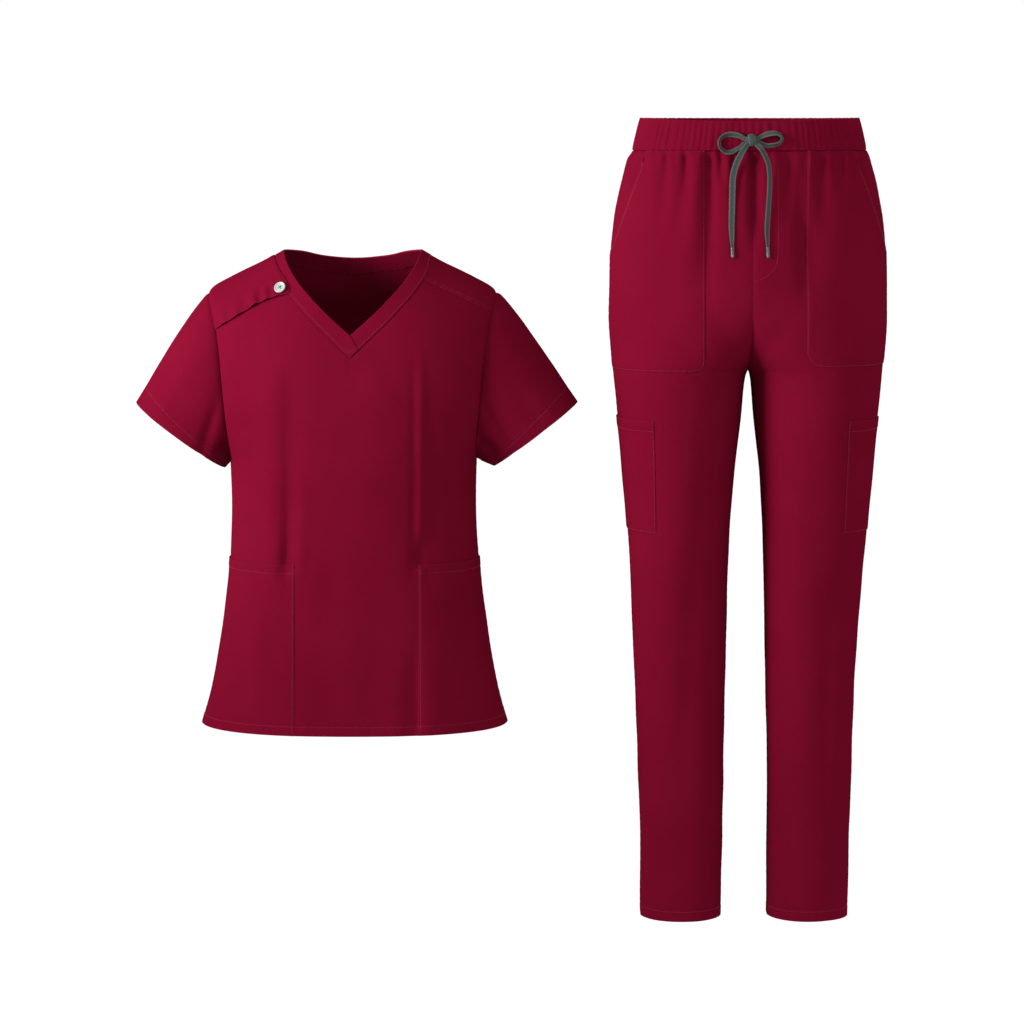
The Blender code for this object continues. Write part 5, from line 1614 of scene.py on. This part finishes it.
def made_plain(source, name, placed=None):
    """The evaluated shape of an object as a plain mesh at the origin. The source goes."""
    bpy.context.view_layer.update()
    mesh = bpy.data.meshes.new_from_object(source.evaluated_get(bpy.context.evaluated_depsgraph_get()))
    mesh.name = name
    if placed is not None:
        mesh.transform(placed)
    made = bpy.data.objects.new(name, mesh)
    bpy.context.scene.collection.objects.link(made)
    bpy.data.objects.remove(source, do_unlink=True)
    return made


make_button()


# ---------------------------------------------------------------- the trousers

TROUSER_HEM_TURN = (TURNED, 0.0130)
CARGO_HEM = (TURNED, 0.0130)
TROUSER_POCKETS = {
    LEFT: dict(inner=0.0600, bottom=-0.1480, corner=0.016, mouth_top=0.1318),
    RIGHT: dict(inner=0.0670, bottom=-0.1420, corner=0.022, mouth_top=0.1285),
}
MOUTH_FOOT = (0.1745, -0.001)
CARGO_TOP, CARGO_BOTTOM = -0.2105, -0.3540
CARGO_FRONT_X = (0.1220, 0.1175)
CARGO_BACK_Y = 0.062
WAIST_GAP = 0.0003
WAIST_TUCK = 0.0065


def trouser_piece(name, across, z, side, half, edges, **more):
    base = closed_seams(trouser(across, z, side, half), side)
    base[..., 0] = np.where((across <= 0) & (z > CROTCH), TROUSERS_X - half * SEAM_LAP, base[..., 0])
    if half * side > 0:
        base = base[:, ::-1]
    return cloth_piece(name, base, trouser_drape(base, side), edges, **more)


def trouser_sides(half, side, inner, outer):
    """Edges by name, for a panel whose columns run from its inner to its outer edge or back."""
    return {"left": outer, "right": inner} if half * side > 0 else {"left": inner, "right": outer}


def make_leg_panel(half, side):
    top = WAIST_SEAM + WAIST_TUCK
    tall = top - TROUSER_HEM
    heights = TROUSER_HEM + shares_of(tall, turned_steps(TROUSER_HEM_TURN[1]), tucked_steps(WAIST_TUCK), 304) * tall
    share = shares_of(LEG_WIDE, SEWN_STEPS, SEWN_STEPS, 104 if side == FRONT else 92)
    z = np.repeat(heights[:, None], len(share), axis=1)
    across = np.repeat(share[None], len(heights), axis=0)
    edges = {"bottom": TROUSER_HEM_TURN, "top": (TUCKED, WAIST_TUCK), **trouser_sides(half, side, SEWN, SEWN)}
    name = f"{'front' if side == FRONT else 'back'}_leg_{SIDE_NAMES[half]}"
    made = trouser_piece(name, across, z, side, half, edges)
    stitched(made, "trousers", "bottom")
    node = f"trouser_{'front' if side == FRONT else 'back'}_{SIDE_NAMES[half]}"
    return sewn_sheet(made, node, wine_cloth)


def to_leg_front(x, z):
    return trouser_across(x, z, FRONT)


def make_trouser_pocket(half):
    """Inner edge, rounded corner and bottom are sewn down; the slanted mouth is topstitched twice."""
    size = TROUSER_POCKETS[half]
    inner, bottom, corner = size["inner"], size["bottom"], size["corner"]
    turn = np.radians(np.linspace(180, 270, 13))
    arc = np.stack([inner + corner + corner * np.cos(turn), bottom + corner + corner * np.sin(turn)], axis=1)
    waist = WAIST_SEAM - WAIST_GAP
    left = np.array([arc[6], *arc[5::-1], (inner, waist)])
    side_x, foot_x = float(trouser_width_at(bottom)), float(trouser_width_at(MOUTH_FOOT[1]))
    low = np.array([*arc[6:], *[(x, bottom) for x in np.linspace(inner + corner, side_x, 40)[1:]]])
    heights = np.linspace(bottom, MOUTH_FOOT[1], 30)
    right = np.stack([trouser_width_at(heights), heights], axis=1)
    mouth_top = (size["mouth_top"], waist)
    slant = np.linspace(mouth_top, MOUTH_FOOT, 40)
    top = np.array([*np.linspace((inner, waist), mouth_top, 10), *slant[1:], (foot_x, MOUTH_FOOT[1])])
    along_top = lengths_along(top)
    kink = along_top[9] / along_top[-1]
    start = np.array(TOPSTITCH_STEPS) / along_top[-1]
    columns = np.concatenate([np.linspace(0, kink, 42)[:-1], kink + (1 - kink) * np.linspace(0, 1, 62)])
    columns = np.concatenate([start, columns[columns > start[-1] + 0.008]])
    end = 1 - np.array(SEWN_STEPS[::-1]) / along_top[-1]
    columns = np.concatenate([columns[columns < end[0] - 0.006], end])
    rows = graded(left, TOPSTITCH_STEPS, (0, 0.0006, 0.0012, 0.0019, 0.0027, 0.0045, 0.0068, 0.0078, 0.0088), 118)
    across, z = patch(low, top, left, right, columns, rows, to_leg_front)
    across = np.minimum(across, 1.0)
    edges = {"bottom": TOPSTITCHED, "top": TOPSTITCHED, **trouser_sides(half, FRONT, TOPSTITCHED, SEWN)}
    name = f"slant_pocket_{SIDE_NAMES[half]}"
    made = trouser_piece(name, across, z, FRONT, half, edges, wall=PATCH_CLOTH, lift=PATCH_LIFT)
    stitched(made, "trousers", "bottom")
    inner_side = "left" if half > 0 else "right"
    stitched(made, "trousers", inner_side)
    kink = np.searchsorted(columns, kink) / (len(columns) - 1)
    mouth = (kink, 1) if half > 0 else (0, 1 - kink)
    stitched(made, "trousers", "top", share=mouth)
    stitched(made, "trousers", "top", SECOND_ROW, share=mouth)
    node, leg = f"trouser_pocket_{SIDE_NAMES[half]}", f"front_leg_{SIDE_NAMES[half]}"
    return sewn_sheet(made, node, wine_cloth)


def make_cargo_pocket(half):
    """A pocket that runs round the side seam, from the front of the thigh to the back."""
    tall = CARGO_TOP - CARGO_BOTTOM
    heights = CARGO_BOTTOM + shares_of(tall, TOPSTITCH_STEPS, turned_steps(CARGO_HEM[1]), 66) * tall
    share_up = (heights - CARGO_BOTTOM) / tall
    front_x = CARGO_FRONT_X[1] + (CARGO_FRONT_X[0] - CARGO_FRONT_X[1]) * share_up
    start = trouser_across(front_x, heights, FRONT)
    end = 2 - trouser_back_across(CARGO_BACK_Y, heights)
    columns = shares_of(CARGO_WIDE, TOPSTITCH_STEPS, TOPSTITCH_STEPS, 84)
    around = start[:, None] + (end - start)[:, None] * columns[None]
    z = np.repeat(heights[:, None], len(columns), axis=1)
    front = trouser(np.minimum(around, 1), z, FRONT, half)
    back = trouser(np.minimum(2 - around, 1), z, BACK, half)
    on_front = (around <= 1)[..., None]
    base = np.where(on_front, front, back)
    drape = np.where(on_front[..., 0], trouser_drape(front, FRONT), trouser_drape(back, BACK))
    if half < 0:
        base, drape = base[:, ::-1], drape[:, ::-1]
    edges = {"bottom": TOPSTITCHED, "top": CARGO_HEM, "left": TOPSTITCHED, "right": TOPSTITCHED}
    made = cloth_piece(f"thigh_pocket_{SIDE_NAMES[half]}", base, drape, edges, wall=PATCH_CLOTH, lift=PATCH_LIFT)
    for where in ("bottom", "top", "left", "right"):
        stitched(made, "trousers", where)
    return sewn_sheet(made, f"cargo_pocket_{SIDE_NAMES[half]}", wine_cloth)


def ruffles(angle):
    """Uneven small waves round the elastic waist, about one to every 7 mm."""
    slow = 3.1 * np.sin(3 * angle + 0.4) + 2.3 * np.sin(7 * angle + 1.9) + 1.2 * np.sin(13 * angle + 0.7)
    return 0.62 * np.sin(96 * angle + slow) + 0.38 * np.sin(61 * angle - 1.4 * slow + 1.0)


def make_waistband():
    columns, rows = 620, 34
    angle = np.linspace(0, 2 * math.pi, columns, endpoint=False)[None]
    share = shares_of(WAISTBAND_TALL, (0, 0.0007, 0.0018, 0.0032), (0, 0.0006, 0.0014, 0.0026), rows)[:, None]
    z = WAIST_SEAM + WAIST_GAP / 2 + share * (WAIST_TOP - WAIST_SEAM - WAIST_GAP / 2)
    x = trouser_width_at(z) * signed_power(np.sin(angle), 2 / TROUSER_FULLNESS)
    depth = np.where(np.cos(angle) > 0, trouser_depth_at[FRONT](z), trouser_depth_at[BACK](z))
    y = -depth * signed_power(np.cos(angle), 2 / TROUSER_FULLNESS)
    dip = WAIST_DIP * share * np.maximum(0, np.cos(angle)) ** 2
    base = np.stack(np.broadcast_arrays(TROUSERS_X + x, y, z - dip), axis=-1)
    soft = np.sin(math.pi * np.clip(share, 0, 1)) ** 0.6
    wave = 0.00085 * ruffles(angle) * (0.30 + 0.70 * soft) + 0.0006 * np.sin(math.pi * share) ** 0.5
    fine = 0.0002 * ruffles(angle * 2 + 1.0) * soft
    drape = wave + fine + sag(base) * WAISTBAND_SAG
    made = cloth_piece("waistband", base, drape, {"bottom": SEWN, "top": RAW}, wall=WAIST_CLOTH, closed=True)
    return sewn_sheet(made, "trouser_waistband", wine_rib)


FLY_LINE = (
    *((0.0300, 0.105), (0.0305, 0.040), (0.0300, 0.000)),
    *((0.0262, -0.018), (0.0150, -0.0290), (0.0020, -0.0345)),
)


def fly_lines(front_right):
    """The curved row of stitching beside the centre seam, on the right leg's outer face."""
    line = np.array(smooth_rows(FLY_LINE, 14))
    outer = front_right["outer"]
    flat = outer.reshape(-1, 3)
    normals = front_right["normals"].reshape(-1, 3)
    points, outs = [], []
    for x, z in resampled(line, np.linspace(0, 1, 160)):
        near = np.argsort((flat[:, 0] - TROUSERS_X - x) ** 2 + (flat[:, 2] - z) ** 2)[:4]
        weight = 1 / (1e-7 + (flat[near, 0] - TROUSERS_X - x) ** 2 + (flat[near, 2] - z) ** 2)
        weight /= weight.sum()
        y = (flat[near, 1] * weight).sum()
        points.append((TROUSERS_X + x, y, z))
        outs.append(unit((normals[near] * weight[:, None]).sum(axis=0)))
    return np.array(points), np.array(outs)


make_waistband()
for half in (LEFT, RIGHT):
    front_leg = make_leg_panel(half, FRONT)
    make_leg_panel(half, BACK)
    make_trouser_pocket(half)
    make_cargo_pocket(half)
stitch_lines["trousers"].append(fly_lines(front_leg))


# ---------------------------------------------------------------- stitches

STITCH_PITCH = 0.0031
STITCH_INPUTS = {
    **{"Pitch": STITCH_PITCH, "Length": 0.0023, "Width": 0.00052, "Height": 0.00040},
    **{"Turn": 0.10, "Seed": 5, "Thread": None},
}


def stitch_tree():
    """Small rounded stitches along each line, turned to the line and lying on the cloth."""
    tree = bpy.data.node_groups.new("stitch_rows", "GeometryNodeTree")
    sockets = {}
    tree.interface.new_socket("Lines", in_out="INPUT", socket_type="NodeSocketGeometry")
    for name, default in STITCH_INPUTS.items():
        kind = "Material" if default is None else "Int" if isinstance(default, int) else "Float"
        socket = tree.interface.new_socket(name, in_out="INPUT", socket_type=f"NodeSocket{kind}")
        sockets[name] = socket.identifier
        if default is not None:
            socket.default_value = default
    tree.interface.new_socket("Stitches", in_out="OUTPUT", socket_type="NodeSocketGeometry")
    nodes, links = tree.nodes, tree.links
    given, put_out = nodes.new("NodeGroupInput"), nodes.new("NodeGroupOutput")
    to_curve = nodes.new("GeometryNodeMeshToCurve")
    links.new(given.outputs["Lines"], to_curve.inputs["Mesh"])
    even = of_kind(nodes, "GeometryNodeResampleCurve", mode="LENGTH")
    links.new(to_curve.outputs["Curve"], even.inputs["Curve"])
    links.new(given.outputs["Pitch"], even.inputs["Length"])
    bead = of_kind(nodes, "GeometryNodeMeshUVSphere", Segments=6, Rings=5, Radius=0.5)
    size = nodes.new("ShaderNodeCombineXYZ")
    for axis, name in (("X", "Width"), ("Y", "Height"), ("Z", "Length")):
        links.new(given.outputs[name], size.inputs[axis])
    out = of_kind(nodes, "GeometryNodeInputNamedAttribute", data_type="FLOAT_VECTOR", Name="out")
    tangent = nodes.new("GeometryNodeInputTangent")
    turn = of_kind(nodes, "FunctionNodeAxesToRotation", primary_axis="Z", secondary_axis="Y")
    links.new(tangent.outputs["Tangent"], turn.inputs["Primary Axis"])
    links.new(out.outputs["Attribute"], turn.inputs["Secondary Axis"])
    chance = of_kind(nodes, "FunctionNodeRandomValue", data_type="FLOAT")
    links.new(reckoned(nodes, links, "MULTIPLY", given.outputs["Turn"], -1.0), chance.inputs[2])
    links.new(given.outputs["Turn"], chance.inputs[3])
    links.new(given.outputs["Seed"], chance.inputs["Seed"])
    lean = of_kind(nodes, "FunctionNodeAxisAngleToRotation", Axis=(0, 1, 0))
    links.new(chance.outputs[1], lean.inputs["Angle"])
    turned = of_kind(nodes, "FunctionNodeRotateRotation", rotation_space="LOCAL")
    links.new(turn.outputs["Rotation"], turned.inputs["Rotation"])
    links.new(lean.outputs["Rotation"], turned.inputs["Rotate By"])
    place = nodes.new("GeometryNodeInstanceOnPoints")
    links.new(even.outputs["Curve"], place.inputs["Points"])
    links.new(bead.outputs["Mesh"], place.inputs["Instance"])
    links.new(turned.outputs["Rotation"], place.inputs["Rotation"])
    links.new(size.outputs["Vector"], place.inputs["Scale"])
    real = nodes.new("GeometryNodeRealizeInstances")
    links.new(place.outputs["Instances"], real.inputs["Geometry"])
    finish = nodes.new("GeometryNodeSetMaterial")
    links.new(real.outputs["Geometry"], finish.inputs["Geometry"])
    links.new(given.outputs["Thread"], finish.inputs["Material"])
    links.new(finish.outputs["Geometry"], put_out.inputs["Stitches"])
    return tree, sockets


def make_stitches(tree, sockets, garment):
    points, outs, edges = [], [], []
    for line, out in stitch_lines[garment]:
        first = len(points)
        points += [tuple(p) for p in line]
        outs += [tuple(n) for n in out]
        edges += [(first + i, first + i + 1) for i in range(len(line) - 1)]
    mesh = bpy.data.meshes.new("lines")
    mesh.from_pydata(points, edges, [])
    mesh.attributes.new("out", "FLOAT_VECTOR", "POINT").data.foreach_set("vector", np.array(outs).ravel())
    lines = bpy.data.objects.new("lines", mesh)
    bpy.context.scene.collection.objects.link(lines)
    rows = lines.modifiers.new("stitches", "NODES")
    rows.node_group = tree
    rows[sockets["Thread"]] = wine_thread
    rows[sockets["Pitch"]] = STITCH_PITCH
    made = made_plain(lines, f"topstitching_{garment}")
    made.data.shade_smooth()
    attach(made, "root")


stitching, stitching_inputs = stitch_tree()
for garment in stitch_lines:
    make_stitches(stitching, stitching_inputs, garment)
